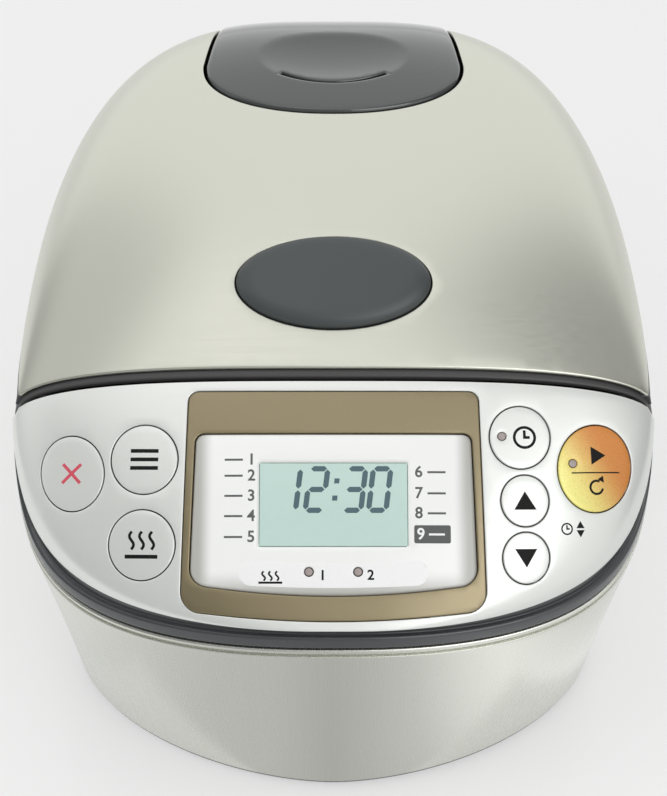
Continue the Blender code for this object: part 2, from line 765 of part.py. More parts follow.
def apply_all(obj):
    """The object with its modifiers, as a mesh."""
    bpy.context.view_layer.update()
    name = obj.name
    mesh = mesh_of(obj)
    mesh.name = name
    return mesh


def make_hinge():
    half = EAR_INNER + EAR_WIDTH + 1.5 * MM
    shaft = cylinder("hinge_shaft", SHAFT_RADIUS, -half, half, hinge_frame(), sides=24)
    add_object("hinge_shaft", shaft, SPRING_STEEL, origin=(0, HINGE_Y, HINGE_Z))
    room = EAR_INNER - BARREL_HALF
    wire = 0.7 * MM
    for name, side in (("left", -1), ("right", 1)):
        low, high = sorted((side * (BARREL_HALF + wire + GAP), side * (BARREL_HALF + room - wire - GAP)))
        radius = SHAFT_RADIUS + wire + 0.5 * MM
        coil(f"hinge_spring_{name}", radius, wire, low, high, 4, SPRING_STEEL, hinge_frame())


def body_form(clearance):
    loops = [base_outline(-clearance, 0.0), wall_loop(1.0, -clearance), outline(-clearance, 6 * MM)]
    loops.append([Vector((point.x, point.y, RIM_Z + 4 * MM)) for point in outline(-clearance, 0.0)])
    return loft("body_form", loops)


def bulge_loop(half, depth, z, back=REAR_Y - 14 * MM, steps=20):
    """Half-oval loop in plan that stands out behind the body."""
    reach = REAR_Y + depth - back
    loop = []
    for step in range(steps + 1):
        angle = math.pi * step / steps
        x = half * signed_power(math.cos(angle), 0.55)
        y = back + reach * math.sin(angle) ** 0.45
        loop.append(Vector((x, y, z)))
    return loop


def make_hinge_cover():
    """Housing behind the hinge; the barrel turns in its open front."""
    depth = HINGE_COVER_DEPTH
    half = HINGE_COVER_HALF
    bottom = HINGE_COVER_TOP - HINGE_COVER_HEIGHT
    levels = (
        (bottom, 0.86, 2 * MM),
        (bottom + 30 * MM, 0.95, depth * 0.62),
        (HINGE_COVER_TOP - 28 * MM, 1.0, depth * 0.95),
        (HINGE_COVER_TOP - 5 * MM, 1.0, depth),
        (HINGE_COVER_TOP, 0.97, depth - 3.5 * MM),
    )
    outer = [bulge_loop(half * scale, reach, z) for z, scale, reach in levels]
    wall = HINGE_COVER_WALL
    inner = [
        bulge_loop(half * scale - wall, reach - wall, z, REAR_Y - 20 * MM)
        for z, scale, reach in ((bottom + 8 * MM, 0.87, 4 * MM),) + levels[1:3]
    ]
    inner.append(bulge_loop(half - wall, depth - wall, HINGE_COVER_TOP - wall, REAR_Y - 20 * MM))
    cover = add_object("hinge_cover", loft("hinge_cover", outer), DARK_PLASTIC)
    cut(cover, loft("hinge_room", inner))
    cut(cover, body_form(GAP))
    slot_half = EAR_INNER + EAR_WIDTH + 2.2 * MM
    low = (-slot_half, REAR_Y - 30 * MM, HINGE_Z - BARREL_RADIUS - 4 * MM)
    high = (slot_half, HINGE_Y + BARREL_RADIUS + 0.8 * MM, HINGE_COVER_TOP + 10 * MM)
    cut(cover, box("barrel_slot", low, high))
    return cover


# ---------------------------------------------------------------- pot and heaters


def make_pot():
    top = DECK_Z + GAP + FLANGE_THICK
    floor = top - POT_DEPTH - FLANGE_THICK
    outer = POT_RADIUS + POT_WALL
    profile = [(0.0, floor)]
    profile += [
        (r, z) for r, z in arc((POT_RADIUS - POT_CORNER, floor + POT_CORNER), POT_CORNER, 270, 360, 4)
    ]
    profile += [(POT_RADIUS, top - 1.0 * MM), (POT_RADIUS + 1.0 * MM, top)]
    profile += [(outer + POT_FLANGE, top), (outer + POT_FLANGE, top - FLANGE_THICK), (outer, top - FLANGE_THICK)]
    corner = POT_CORNER + POT_WALL
    profile += arc((outer - corner, floor - POT_WALL + corner), corner, 360, 270, 4)
    profile.append((0.0, floor - POT_WALL))
    turned("inner_pot", profile, POT_COAT, (0, POT_Y, 0), steps=WIDE_ROUND)


POT_BOTTOM = DECK_Z + GAP - POT_DEPTH - POT_WALL
HEATER_TOP = POT_BOTTOM - GAP
LEDGE_Z = HEATER_TOP - HEATER_THICK - GAP
SENSOR_TOP = HEATER_TOP


def make_liner():
    inner = POT_RADIUS + POT_WALL + LINER_CLEARANCE
    top = DECK_Z - DECK_THICK - GAP
    profile = [
        (inner, top),
        (inner + 5 * MM, top),
        (inner + 5 * MM, top - LINER_WALL),
        (inner + LINER_WALL, top - LINER_WALL),
        (inner + LINER_WALL, LEDGE_Z - LINER_WALL),
        (inner - LINER_LEDGE, LEDGE_Z - LINER_WALL),
        (inner - LINER_LEDGE, LEDGE_Z),
        (inner, LEDGE_Z),
    ]
    turned("inner_case", profile, ALUMINIUM, (0, POT_Y, 0), steps=WIDE_ROUND)
    band = inner + LINER_WALL + GAP
    high = DECK_Z - DECK_THICK - SIDE_HEATER_DROP
    low = high - SIDE_HEATER_HEIGHT
    profile = [(band, high), (band + 2 * MM, high), (band + 2 * MM, low), (band, low)]
    turned("side_heater", profile, SPRING_STEEL, (0, POT_Y, 0), steps=WIDE_ROUND)


def make_heater():
    hole = SENSOR_RADIUS + 1.2 * MM
    low, high = HEATER_TOP - HEATER_THICK, HEATER_TOP
    profile = [
        (hole, high),
        (HEATER_RADIUS - 3 * MM, high),
        (HEATER_RADIUS, high - 3 * MM),
        (HEATER_RADIUS, low),
        (hole, low),
    ]
    turned("heater_plate", profile, ALUMINIUM, (0, POT_Y, 0), steps=WIDE_ROUND)


def make_sensor():
    low = SENSOR_TOP - SENSOR_HEIGHT
    profile = [
        (0.0, SENSOR_TOP),
        (SENSOR_RADIUS - 2 * MM, SENSOR_TOP),
        (SENSOR_RADIUS, SENSOR_TOP - 1.5 * MM),
        (SENSOR_RADIUS, SENSOR_TOP - 7 * MM),
        (SENSOR_RADIUS - 5 * MM, SENSOR_TOP - 7 * MM),
        (SENSOR_RADIUS - 5 * MM, low),
        (0.0, low),
    ]
    turned("center_sensor", profile, ALUMINIUM, (0, POT_Y, 0), steps=24)
    foot = BASE_Z + BASE_WALL
    frame = Matrix.Translation((0, POT_Y, 0))
    coil("sensor_spring", 9 * MM, SPRING_WIRE, foot + SPRING_WIRE + GAP, low - SPRING_WIRE - GAP, 4, SPRING_STEEL, frame)


# ---------------------------------------------------------------- lid


def lid_loop(inset, z, follow=0.0):
    """Closed loop round the lid: the rear arc and a straight front edge; follow leans it to the skin."""
    half = LOOP // 2
    points = []
    for step in range(half + 1):
        angle = math.pi * step / half
        x = signed_power(math.cos(angle), 2 / REAR_POWER) * (HALF_WIDTH - inset)
        y = SPLIT_Y + inset + math.sin(angle) ** (2 / REAR_POWER) * (REAR_Y - SPLIT_Y - 2 * inset)
        share = min(follow / (crown(y) - RIM_Z), 1.0) if follow else 0.0
        points.append(Vector((x * (1 - share**ARCH_ROOT) ** (1 / ARCH_POWER), y, z)))
    return points


def make_lid_cover():
    foot = BAND_HEIGHT + GAP
    outer = skin_grid(SPLIT_Y, REAR_Y, LID_ROWS, 0.0, foot)
    inner = skin_grid(SPLIT_Y, REAR_Y, LID_ROWS, COVER_WALL, foot)
    cover = add_object("lid_cover", shell("lid_cover", outer, inner), STEEL, origin=(0, HINGE_Y, HINGE_Z))
    cut(cover, prism("vent_hole", vent_outline(0.0), RIM_Z + 15 * MM, CROWN_Z + 10 * MM))
    hole = [(x, y) for x, y in oval(BUTTON_HALF_X + BUTTON_CLEARANCE, BUTTON_HALF_V + BUTTON_CLEARANCE)]
    cut(cover, prism("button_hole", hole, -0.012, 0.012, button_frame()))
    return cover


def vent_outline(inset):
    """D-shaped outline in plan: a round front and sides that draw in towards the rear."""
    half = VENT_HALF - inset
    shoulder = VENT_FRONT_Y + 34 * MM
    points = []
    for step in range(19):
        angle = math.pi + math.pi * step / 18
        x = half * signed_power(math.cos(angle), 0.86)
        y = shoulder + (shoulder - VENT_FRONT_Y - inset) * signed_power(math.sin(angle), 0.86)
        points.append((x, y))
    rear = VENT_REAR_Y - inset
    points += [(VENT_REAR_HALF - inset, rear), (-(VENT_REAR_HALF - inset), rear)]
    return points


def make_lid_frame():
    plate = RIM_Z + TRAY_RECESS
    top = RIM_Z + BAND_HEIGHT
    loops = [
        lid_loop(7 * MM, plate),
        lid_loop(3.4 * MM, RIM_Z),
        lid_loop(0.8 * MM, RIM_Z),
        lid_loop(0.0, top, BAND_HEIGHT),
        lid_loop(3.0 * MM, top, BAND_HEIGHT),
        lid_loop(4.0 * MM, plate + TRAY_THICK),
    ]
    frame = add_object("lid_frame", loft("lid_frame", loops), DARK_PLASTIC, origin=(0, HINGE_Y, HINGE_Z))
    join(frame, make_lid_lip())
    join(frame, make_lid_front())
    join(frame, prism("neck", neck_profile(), -BARREL_HALF, BARREL_HALF, side_frame()))
    for side in (-1, 1):
        low, high = sorted((side * (LATCH_HALF + GAP), side * (LATCH_HALF + 4 * MM)))
        points = [(LATCH_Y - 4 * MM, plate), (LATCH_Y + 4 * MM, plate)]
        points += arc((LATCH_Y, LATCH_Z), 4 * MM, 0, 180, 8)
        join(frame, prism(f"latch_ear_{'left' if side < 0 else 'right'}", points, low, high, side_frame()))
    cut(frame, cylinder("pin_hole", LATCH_PIN_RADIUS + 0.2 * MM, -0.02, 0.02, latch_frame(), sides=20))
    low, high = RIM_Z - 2 * MM, plate + 2 * TRAY_THICK
    cut(frame, cylinder("heat_opening", HEAT_OPENING, low, high, Matrix.Translation((0, POT_Y, 0)), sides=40))
    half = LATCH_HALF + 1.5 * MM
    low_y, high_y = LATCH_FRONT_Y - 4.2 * MM, LATCH_REAR_Y + 2 * MM
    cut(frame, box("latch_slot", (-half, low_y, low), (half, high_y, plate + TRAY_THICK + MM)))
    bore = cylinder("hinge_bore", SHAFT_RADIUS + SHAFT_CLEARANCE, -0.06, 0.06, hinge_frame(), sides=24)
    cut(frame, bore)
    return frame


def make_lid_lip():
    """Dark lip that runs out under the cover's front edge, following its arch."""
    stations = (SPLIT_Y - LIP_REACH, SPLIT_Y - 0.6 * LIP_REACH, SPLIT_Y + 2 * MM, SPLIT_Y + 6 * MM)
    outer = [lip_row(y, LIP_DROP) for y in stations]
    inner = [lip_row(y, LIP_DROP + LIP_THICK) for y in stations]
    return shell("lid_lip", outer, inner)


def lip_row(y, inset):
    ends = skin_row(y, inset, 0.2 * MM)
    return [ends[0]] + skin_row(y, inset, BAND_HEIGHT + GAP) + [ends[-1]]


def make_lid_front():
    """Wall from the lip down to the lid's tray."""
    y = SPLIT_Y + 2.6 * MM
    row = skin_row(y, LIP_DROP + 1.2 * MM, BAND_HEIGHT + GAP)
    points = [(point.x, point.z) for point in row]
    low = RIM_Z + TRAY_RECESS + 0.5 * MM
    points += [(points[-1][0], low), (points[0][0], low)]
    return prism("lid_front", points, -1.8 * MM, 0.0, front_frame(y))


def neck_profile():
    """Side outline of the barrel and the neck that ties it to the lid's rear."""
    points = arc((HINGE_Y, HINGE_Z), BARREL_RADIUS, -120, 120, 14)
    points += [(HINGE_Y - 6 * MM, RIM_Z + BAND_HEIGHT), (REAR_Y - 2 * MM, RIM_Z + BAND_HEIGHT)]
    points += [(REAR_Y - 2 * MM, RIM_Z + 0.6 * MM), (HINGE_Y - 7 * MM, RIM_Z + 0.6 * MM)]
    return points


def latch_frame():
    turn = Matrix.Rotation(math.radians(90), 4, "Y")
    return Matrix.Translation((0, LATCH_Y, LATCH_Z)) @ turn


def make_latch():
    """Bell crank: the button pushes its rear arm down, and its tip swings out of the catch."""
    tip = [
        (LATCH_REAR_Y, LATCH_TIP_Z + 2.6 * MM),
        (LATCH_REAR_Y - 1.0 * MM, LATCH_TIP_Z),
        (LATCH_FRONT_Y, LATCH_TIP_Z),
        (LATCH_FRONT_Y, RIM_Z + 1.5 * MM),
        (LATCH_Y - 4 * MM, LATCH_Z + 1 * MM),
    ]
    arm = arc((LATCH_Y, LATCH_Z), 4 * MM, 165, 60, 5)
    arm += [
        (LATCH_Y + LATCH_ARM + 3 * MM, LATCH_Z + 1.5 * MM),
        (LATCH_Y + LATCH_ARM + 3 * MM, LATCH_Z - 1.5 * MM),
        (LATCH_Y + 4 * MM, LATCH_Z - 3 * MM),
        (LATCH_REAR_Y - 1.4 * MM, RIM_Z + 2.5 * MM),
        (LATCH_REAR_Y - 1.4 * MM, LATCH_TIP_Z + 3.6 * MM),
    ]
    mesh = prism("latch_hook", tip + arm, -LATCH_HALF, LATCH_HALF, side_frame())
    hook = add_object("latch_hook", mesh, GREY_PLASTIC, origin=(0, LATCH_Y, LATCH_Z))
    bore = cylinder("latch_bore", LATCH_PIN_RADIUS + 0.2 * MM, -0.02, 0.02, latch_frame(), sides=20)
    cut(hook, bore)
    pin = cylinder("latch_pin", LATCH_PIN_RADIUS, -LATCH_HALF - 4 * MM, LATCH_HALF + 4 * MM, latch_frame(), sides=20)
    pin = add_object("latch_pin", pin, SPRING_STEEL, origin=(0, LATCH_Y, LATCH_Z))
    frame = Matrix.Translation((0, LATCH_Y + LATCH_ARM - 4.0 * MM, 0))
    low = RIM_Z + TRAY_RECESS + TRAY_THICK + SPRING_WIRE + GAP
    spring = coil("latch_spring", 2.6 * MM, SPRING_WIRE, low, LATCH_Z - 3.2 * MM - SPRING_WIRE, 4, SPRING_STEEL, frame)
    return hook, pin, spring


def surface_frame(x, y):
    """Frame on the outer skin at x, y with its Z axis along the outward normal."""
    step = 0.4 * MM
    slope_x = (skin_z(x + step, y) - skin_z(x - step, y)) / (2 * step)
    slope_y = (skin_z(x, y + step) - skin_z(x, y - step)) / (2 * step)
    return axis_frame((x, y, skin_z(x, y)), (-slope_x, -slope_y, 1.0))


def button_frame():
    return surface_frame(0.0, BUTTON_Y)


def make_button():
    """Oval button with a bevelled edge and a flat face, a flange under the cover and a post."""
    frame = button_frame()
    levels = (
        (-4.2 * MM, 2.0 * MM),
        (-2.6 * MM, 2.0 * MM),
        (-2.6 * MM, 0.0),
        (BUTTON_PROUD - BUTTON_BEVEL, 0.0),
        (BUTTON_PROUD - 0.5 * MM, -BUTTON_BEVEL * 0.8),
        (BUTTON_PROUD, -BUTTON_BEVEL - 0.4 * MM),
    )
    loops = []
    for height, swell in levels:
        ring = oval(BUTTON_HALF_X + swell, BUTTON_HALF_V + swell)
        loops.append([frame @ Vector((x, y, height)) for x, y in ring])
    button = add_object("lid_button", loft("lid_button", loops), GREY_PLASTIC, origin=frame.translation)
    post_y = LATCH_Y + LATCH_ARM
    arm_top = LATCH_Z + 3.2 * MM
    under = frame.inverted() @ Vector((0, post_y, arm_top + GAP))
    post = Matrix.Translation(frame @ Vector((0, under.y, 0))) @ frame.to_3x3().to_4x4()
    join(button, cylinder("button_post", 2.5 * MM, under.z, -4.0 * MM, post, sides=16))
    return button


def make_lid_inside():
    """Heat plate above the tray's opening, and the removable inner lid with its gasket below."""
    centre = (0, POT_Y, 0)
    low = RIM_Z + TRAY_RECESS + TRAY_THICK + GAP
    radius = HEAT_OPENING + HEAT_PLATE_LAP
    profile = [(0.0, low + HEAT_PLATE_THICK), (radius, low + HEAT_PLATE_THICK), (radius, low), (0.0, low)]
    plate = turned("lid_heat_plate", profile, ALUMINIUM, centre, steps=WIDE_ROUND)
    hole = Matrix.Translation((0, VENT_TUBE_Y, 0))
    cut(plate, cylinder("steam_hole", STEAM_HOLE, low - 5 * MM, low + 5 * MM, hole, sides=20))
    bottom = DECK_Z + GAP + FLANGE_THICK + GAP
    edge = bottom + 0.9 * MM
    raised = edge + 2.6 * MM
    profile = [
        (0.0, raised + INNER_LID_THICK),
        (HEAT_OPENING - 6 * MM, raised + INNER_LID_THICK),
        (HEAT_OPENING - 1 * MM, edge + INNER_LID_THICK),
        (INNER_LID_RADIUS, edge + INNER_LID_THICK),
        (INNER_LID_RADIUS, edge),
        (HEAT_OPENING - 2 * MM, edge),
        (HEAT_OPENING - 7 * MM, raised),
        (0.0, raised),
    ]
    inner = turned("inner_lid", profile, ALUMINIUM, centre, steps=WIDE_ROUND)
    for index in range(5):
        x = (index - 2) * 9 * MM
        place = Matrix.Translation((x, VENT_TUBE_Y, 0))
        cut(inner, cylinder(f"steam_slot_{index}", 2.2 * MM, edge - 5 * MM, edge + 5 * MM, place, sides=8))
    top = bottom + GASKET_THICK
    groove = INNER_LID_RADIUS + GAP
    profile = [
        (GASKET_INNER, top),
        (GASKET_RADIUS, top),
        (GASKET_RADIUS, bottom),
        (GASKET_INNER + 2 * MM, bottom),
        (GASKET_INNER, bottom + 0.2 * MM),
        (GASKET_INNER, edge - GAP),
        (groove, edge - GAP),
        (groove, edge + INNER_LID_THICK + GAP),
        (GASKET_INNER, edge + INNER_LID_THICK + GAP),
    ]
    gasket = turned("inner_lid_gasket", profile, RUBBER, centre, steps=WIDE_ROUND)
    return plate, inner, gasket


def make_vent():
    """Lift-off steam vent: the D-shaped cap with its dish and finger slit, the round case and a seal."""
    rows = []
    for inset in (-VENT_PROUD, VENT_SLAB):
        grid = []
        for step in range(9):
            y = VENT_FRONT_Y - 2 * MM + (VENT_REAR_Y + 2 * MM - VENT_FRONT_Y) * step / 8
            grid.append([Vector((x, y, skin_z(x, y, inset))) for x in cap_columns()])
        rows.append(grid)
    cap = add_object("steam_vent_cap", shell("steam_vent_cap", *rows), GREY_PLASTIC)
    keep(cap, prism("vent_cap", vent_outline(VENT_CLEARANCE), RIM_Z + 25 * MM, CROWN_Z + 10 * MM))
    top = skin_z(0, DISH_Y)
    radius = (DISH_HALF_X**2 + DISH_DEPTH**2) / (2 * DISH_DEPTH)
    cut(cap, dish_cutter(top, radius))
    cut(cap, slit_cutter(top))
    bore = CASE_RADIUS + GAP
    case_top = case_top_z()
    sleeve_top = skin_z(0, VENT_TUBE_Y + bore + 1.6 * MM) - 0.2 * MM
    sleeve = [
        (bore, sleeve_top),
        (bore + 1.6 * MM, sleeve_top),
        (bore + 1.6 * MM, case_top - 6 * MM),
        (bore, case_top - 6 * MM),
    ]
    ring = turned("sleeve", sleeve, None, (0, VENT_TUBE_Y, 0), steps=24)
    boolean(cap, ring, "UNION")
    case = turned("steam_vent_case", case_profile(), GREY_PLASTIC, (0, VENT_TUBE_Y, 0), steps=24)
    low = RIM_Z + TRAY_RECESS + TRAY_THICK + GAP
    inner, outer = TUBE_RADIUS + GAP, STEAM_HOLE - GAP
    seal = [(inner, low + 4 * MM), (outer, low + 4 * MM), (outer, low), (inner, low)]
    gasket = turned("vent_gasket", seal, RUBBER, (0, VENT_TUBE_Y, 0), steps=16)
    return cap, case, gasket


def case_top_z():
    """Just under the cap where its slab is lowest over the case."""
    return skin_z(0, VENT_TUBE_Y + CASE_RADIUS, VENT_SLAB) - 0.8 * MM


def cap_columns():
    half = VENT_HALF + 2 * MM
    return [half * (step / 6 - 1) for step in range(13)]


def dish_cutter(top, radius):
    bm = bmesh.new()
    place = Matrix.Translation((0, DISH_Y, top + VENT_PROUD + radius - DISH_DEPTH))
    squeeze = Matrix.Diagonal((1.0, DISH_HALF_Y / DISH_HALF_X, 1.0, 1.0))
    bmesh.ops.create_uvsphere(bm, u_segments=32, v_segments=48, radius=radius, matrix=place @ squeeze)
    return finish_mesh("dish", bm)


def slit_cutter(top):
    """Smile-shaped slit along the dish's front edge."""
    half, sag, width = 22.5 * MM, 6.0 * MM, 1.6 * MM
    front = DISH_Y - DISH_HALF_Y + 3.2 * MM
    radius = (half**2 + sag**2) / (2 * sag)
    spread = math.degrees(math.asin(half / radius))
    centre = (0.0, front + radius)
    points = arc(centre, radius, 270 - spread, 270 + spread, 12)
    points += arc(centre, radius - width, 270 + spread, 270 - spread, 12)
    return prism("slit", points, top - 5.5 * MM, top + 5 * MM)


def case_profile():
    wall = CASE_WALL
    top = case_top_z()
    floor = RIM_Z + 15.5 * MM
    tube_low = RIM_Z + TRAY_RECESS + TRAY_THICK + HEAT_PLATE_THICK
    return [
        (CASE_RADIUS - wall, top),
        (CASE_RADIUS, top),
        (CASE_RADIUS, floor + 4 * MM),
        (CASE_RADIUS - 6 * MM, floor),
        (TUBE_RADIUS, floor),
        (TUBE_RADIUS, tube_low),
        (TUBE_RADIUS - wall, tube_low),
        (TUBE_RADIUS - wall, floor + wall),
        (CASE_RADIUS - 6.5 * MM, floor + wall),
        (CASE_RADIUS - wall, floor + 4.6 * MM),
    ]


# ---------------------------------------------------------------- control panel

PANEL_SLOPE = math.atan2(crown(SPLIT_Y) - crown(FRONT_Y), SPLIT_Y - FRONT_Y)
PANEL_MIDDLE = Vector((0, (SPLIT_Y + FRONT_Y) / 2, crown((SPLIT_Y + FRONT_Y) / 2)))


def panel_frame():
    """Frame in the panel's middle: X right, Y up the slope, Z out of the panel."""
    return Matrix.Translation(PANEL_MIDDLE) @ Matrix.Rotation(PANEL_SLOPE, 4, "X")


def panel_place(x, v):
    """Frame on the panel's surface at x across and v up the slope."""
    frame = panel_frame()
    height = 0.0
    for _ in range(12):
        point = frame @ Vector((x, v, height))
        height += (skin_z(point.x, point.y) - point.z) * math.cos(PANEL_SLOPE)
    point = frame @ Vector((x, v, height))
    return surface_frame(point.x, point.y)


def panel_shell(name, outer_inset, inner_inset):
    start = SPLIT_Y - PANEL_TOP_GAP
    outer = skin_grid(start, FRONT_Y, PANEL_ROWS, outer_inset, 0.0)
    inner = skin_grid(start, FRONT_Y, PANEL_ROWS, inner_inset, 0.0)
    return shell(name, outer, inner)


def bowed_outline(half, flare, top, bottom, bow, corner, grow):
    """Outline with a straight top, sides that flare downwards and a bowed bottom edge."""
    corner += grow
    wide = half + flare + grow
    narrow = half + grow
    top += grow
    bottom -= grow
    points = arc((narrow - corner, top - corner), corner, 90, 0, 4)
    points += arc((wide - corner * 2, bottom + corner * 2), corner * 2, 0, -78, 5)
    for step in range(1, 8):
        share = step / 4 - 1
        points.append((-(wide - corner * 2) * share, bottom - bow * (1 - share**2)))
    points += arc((-(wide - corner * 2), bottom + corner * 2), corner * 2, -102, -180, 5)
    points += arc((-(narrow - corner), top - corner), corner, 180, 90, 4)
    return points


def frame_outline(grow):
    return bowed_outline(FRAME_HALF, FRAME_FLARE, FRAME_TOP_V, FRAME_BOTTOM_V, FRAME_BOW, FRAME_CORNER, grow)


def window_outline(grow):
    return bowed_outline(
        WINDOW_HALF, WINDOW_FLARE, WINDOW_TOP_V, WINDOW_BOTTOM_V, WINDOW_BOW, WINDOW_CORNER, grow
    )


INNER_KEY_X = FRAME_HALF + KEY_FRAME_GAP
OUTER_KEY_X = HALF_WIDTH - OUTER_KEY_INSET
KEYS = {
    # name: (x, v, half width, half height, material)
    "cancel_key": (-OUTER_KEY_X, 9.1 * MM, 13.0 * MM, 14.8 * MM, PEARL_PLASTIC),
    "menu_key": (-INNER_KEY_X - 14.2 * MM, 13.8 * MM, 13.0 * MM, 13.6 * MM, PEARL_PLASTIC),
    "keep_warm_key": (-INNER_KEY_X - 14.8 * MM, -19.9 * MM, 13.0 * MM, 13.6 * MM, PEARL_PLASTIC),
    "timer_key": (INNER_KEY_X + 13.3 * MM, 22.6 * MM, 11.8 * MM, 12.4 * MM, PEARL_PLASTIC),
    "up_key": (INNER_KEY_X + 14.9 * MM, -2.6 * MM, 9.3 * MM, 10.0 * MM, PEARL_PLASTIC),
    "down_key": (INNER_KEY_X + 15.1 * MM, -25.0 * MM, 9.1 * MM, 9.9 * MM, PEARL_PLASTIC),
    "start_key": (OUTER_KEY_X + 0.1 * MM, 11.1 * MM, 15.1 * MM, 17.2 * MM, ORANGE),
}
LAMPED_KEYS = {"timer_key": ("timer_lens", -7.1 * MM), "start_key": ("start_lens", -9.4 * MM)}
CUT_HALF = 9.0 * MM  # how far a key's cutter reaches each way from the skin


def board_depth():
    """Depth of the board below the panel's middle plane, clear of the lowest key."""
    inverse = panel_frame().inverted()
    lowest = min((inverse @ panel_place(x, v).translation).z for x, v, *_ in KEYS.values())
    return KEY_ROOM + SWITCH_HEIGHT - lowest


BOARD_DEPTH = board_depth()


def make_panel():
    panel = add_object("control_panel", panel_shell("control_panel", 0.0, PANEL_WALL), PEARL_PLASTIC)
    cut(panel, prism("frame_hole", frame_outline(GAP), -0.02, 0.02, panel_frame()))
    for name, (x, v, half_x, half_v, _) in KEYS.items():
        hole = oval(half_x + KEY_GAP, half_v + KEY_GAP, ROUND)
        cut(panel, prism(f"{name}_hole", hole, -CUT_HALF, CUT_HALF, panel_place(x, v)))
    return panel


def make_display():
    frame = panel_frame()
    bezel = add_object("display_frame", panel_shell("display_frame", 0.0, PANEL_WALL), BRONZE)
    keep(bezel, prism("frame_plate", frame_outline(0.0), -0.02, 0.02, frame))
    cut(bezel, prism("window_hole", window_outline(GAP), -0.03, 0.03, frame))
    window = add_object("display_window", panel_shell("display_window", WINDOW_DROP, PANEL_WALL), WHITE_WINDOW)
    keep(window, prism("window_plate", window_outline(0.0), -0.02, 0.02, frame))
    low = (-LCD_HALF_X - GAP, LCD_BOTTOM_V - GAP, -0.03)
    cut(window, box("lcd_hole", low, (LCD_HALF_X + GAP, LCD_TOP_V + GAP, 0.03), frame))
    for side, end in ((-1, "left"), (1, "right")):
        place = panel_place(side * KEEP_WARM_LAMP_X, KEEP_WARM_LAMP_V)
        name = f"keep_warm_lens_{end}"
        cut(window, cylinder(f"{name}_hole", LAMP_RADIUS + GAP, -CUT_HALF, CUT_HALF, place, sides=16))
        lens = add_object(name, panel_shell(name, WINDOW_DROP, PANEL_WALL), LENS)
        keep(lens, cylinder(f"{name}_rod", LAMP_RADIUS, -CUT_HALF, CUT_HALF, place, sides=16))
    make_lcd(frame)


def make_lcd(frame):
    """Glass that fills the window's opening, on a wider module below."""
    top = -1.4 * MM
    ledge = -PANEL_WALL - 1.3 * MM
    low = (-LCD_HALF_X - 4 * MM, LCD_BOTTOM_V - 4 * MM, ledge - 4 * MM)
    high = (LCD_HALF_X + 4 * MM, LCD_TOP_V + 4 * MM, ledge)
    lcd = add_object("lcd_module", box("lcd_module", low, high, frame), LCD_GLASS)
    glass = box("lcd_front", (-LCD_HALF_X, LCD_BOTTOM_V, ledge - MM), (LCD_HALF_X, LCD_TOP_V, top), frame)
    join(lcd, glass)


def key_drop(place, outline_points):
    """How far the panel's skin falls below a key's middle along an outline round it."""
    inverse = place.inverted()
    drop = 0.0
    for across, along in outline_points:
        point = place @ Vector((across, along, 0))
        drop = max(drop, -(inverse @ Vector((point.x, point.y, skin_z(point.x, point.y)))).z)
    return drop


def make_keys():
    """Caps flush with the panel, each with a flange behind it and a stem over its switch."""
    frame = panel_frame()
    board = make_control_board(frame)
    made = {}
    for name, (x, v, half_x, half_v, mat) in KEYS.items():
        place = panel_place(x, v)
        key = add_object(name, panel_shell(name, 0.0, PANEL_WALL), mat, origin=place.translation)
        keep(key, prism(f"{name}_cap", oval(half_x, half_v, ROUND), -CUT_HALF, CUT_HALF, place))
        seat = oval(half_x + KEY_FLANGE, half_v + KEY_FLANGE, 16)
        top = -(PANEL_WALL + GAP + key_drop(place, seat) + KEY_TRAVEL * 0.2)
        join(key, prism(f"{name}_flange", seat, top - KEY_FLANGE_THICK, top, place))
        reach = frame.inverted() @ place.translation
        local = (frame.inverted() @ place).to_3x3() @ Vector((0, 0, 1))
        tilt = KEY_STEM * math.tan(local.angle(Vector((0, 0, 1))))
        end = (BOARD_DEPTH - SWITCH_HEIGHT + reach.z) / local.z - tilt - KEY_TRAVEL - GAP
        join(key, cylinder(f"{name}_stem", KEY_STEM, -end, -PANEL_WALL * 0.6, place, sides=8))
        hit = reach - local * ((BOARD_DEPTH + reach.z) / local.z)
        low = (hit.x - SWITCH_HALF, hit.y - SWITCH_HALF, -BOARD_DEPTH - 0.5 * MM)
        high = (hit.x + SWITCH_HALF, hit.y + SWITCH_HALF, -BOARD_DEPTH + SWITCH_HEIGHT)
        join(board, box(f"{name}_switch", low, high, frame))
        made[name] = key
        if name in LAMPED_KEYS:
            make_key_lens(name, key, x, v, place, mat)
    return made


def make_key_lens(key_name, key, x, v, place, mat):
    name, offset = LAMPED_KEYS[key_name]
    spot = Matrix.Translation(place @ Vector((offset, 0, 0)) - place.translation) @ place
    cut(key, cylinder(f"{name}_hole", LAMP_RADIUS + GAP, -CUT_HALF, CUT_HALF, spot, sides=16))
    lens = add_object(name, panel_shell(name, 0.0, PANEL_WALL), LENS, origin=place.translation)
    keep(lens, cylinder(f"{name}_rod", LAMP_RADIUS, -CUT_HALF, CUT_HALF, spot, sides=16))


def make_control_board(frame):
    """Board under the panel, wide behind the outer keys and narrower below them."""
    wide = OUTER_KEY_X + 4.0 * MM
    narrow = INNER_KEY_X + 20.0 * MM
    right = [(narrow, -32 * MM), (wide, -2 * MM), (wide, 28 * MM)]
    points = [(-x, v) for x, v in reversed(right)] + right
    mesh = prism("control_board", points, -BOARD_DEPTH - BOARD_THICK, -BOARD_DEPTH, frame)
    return add_object("control_board", mesh, BOARD_GREEN)


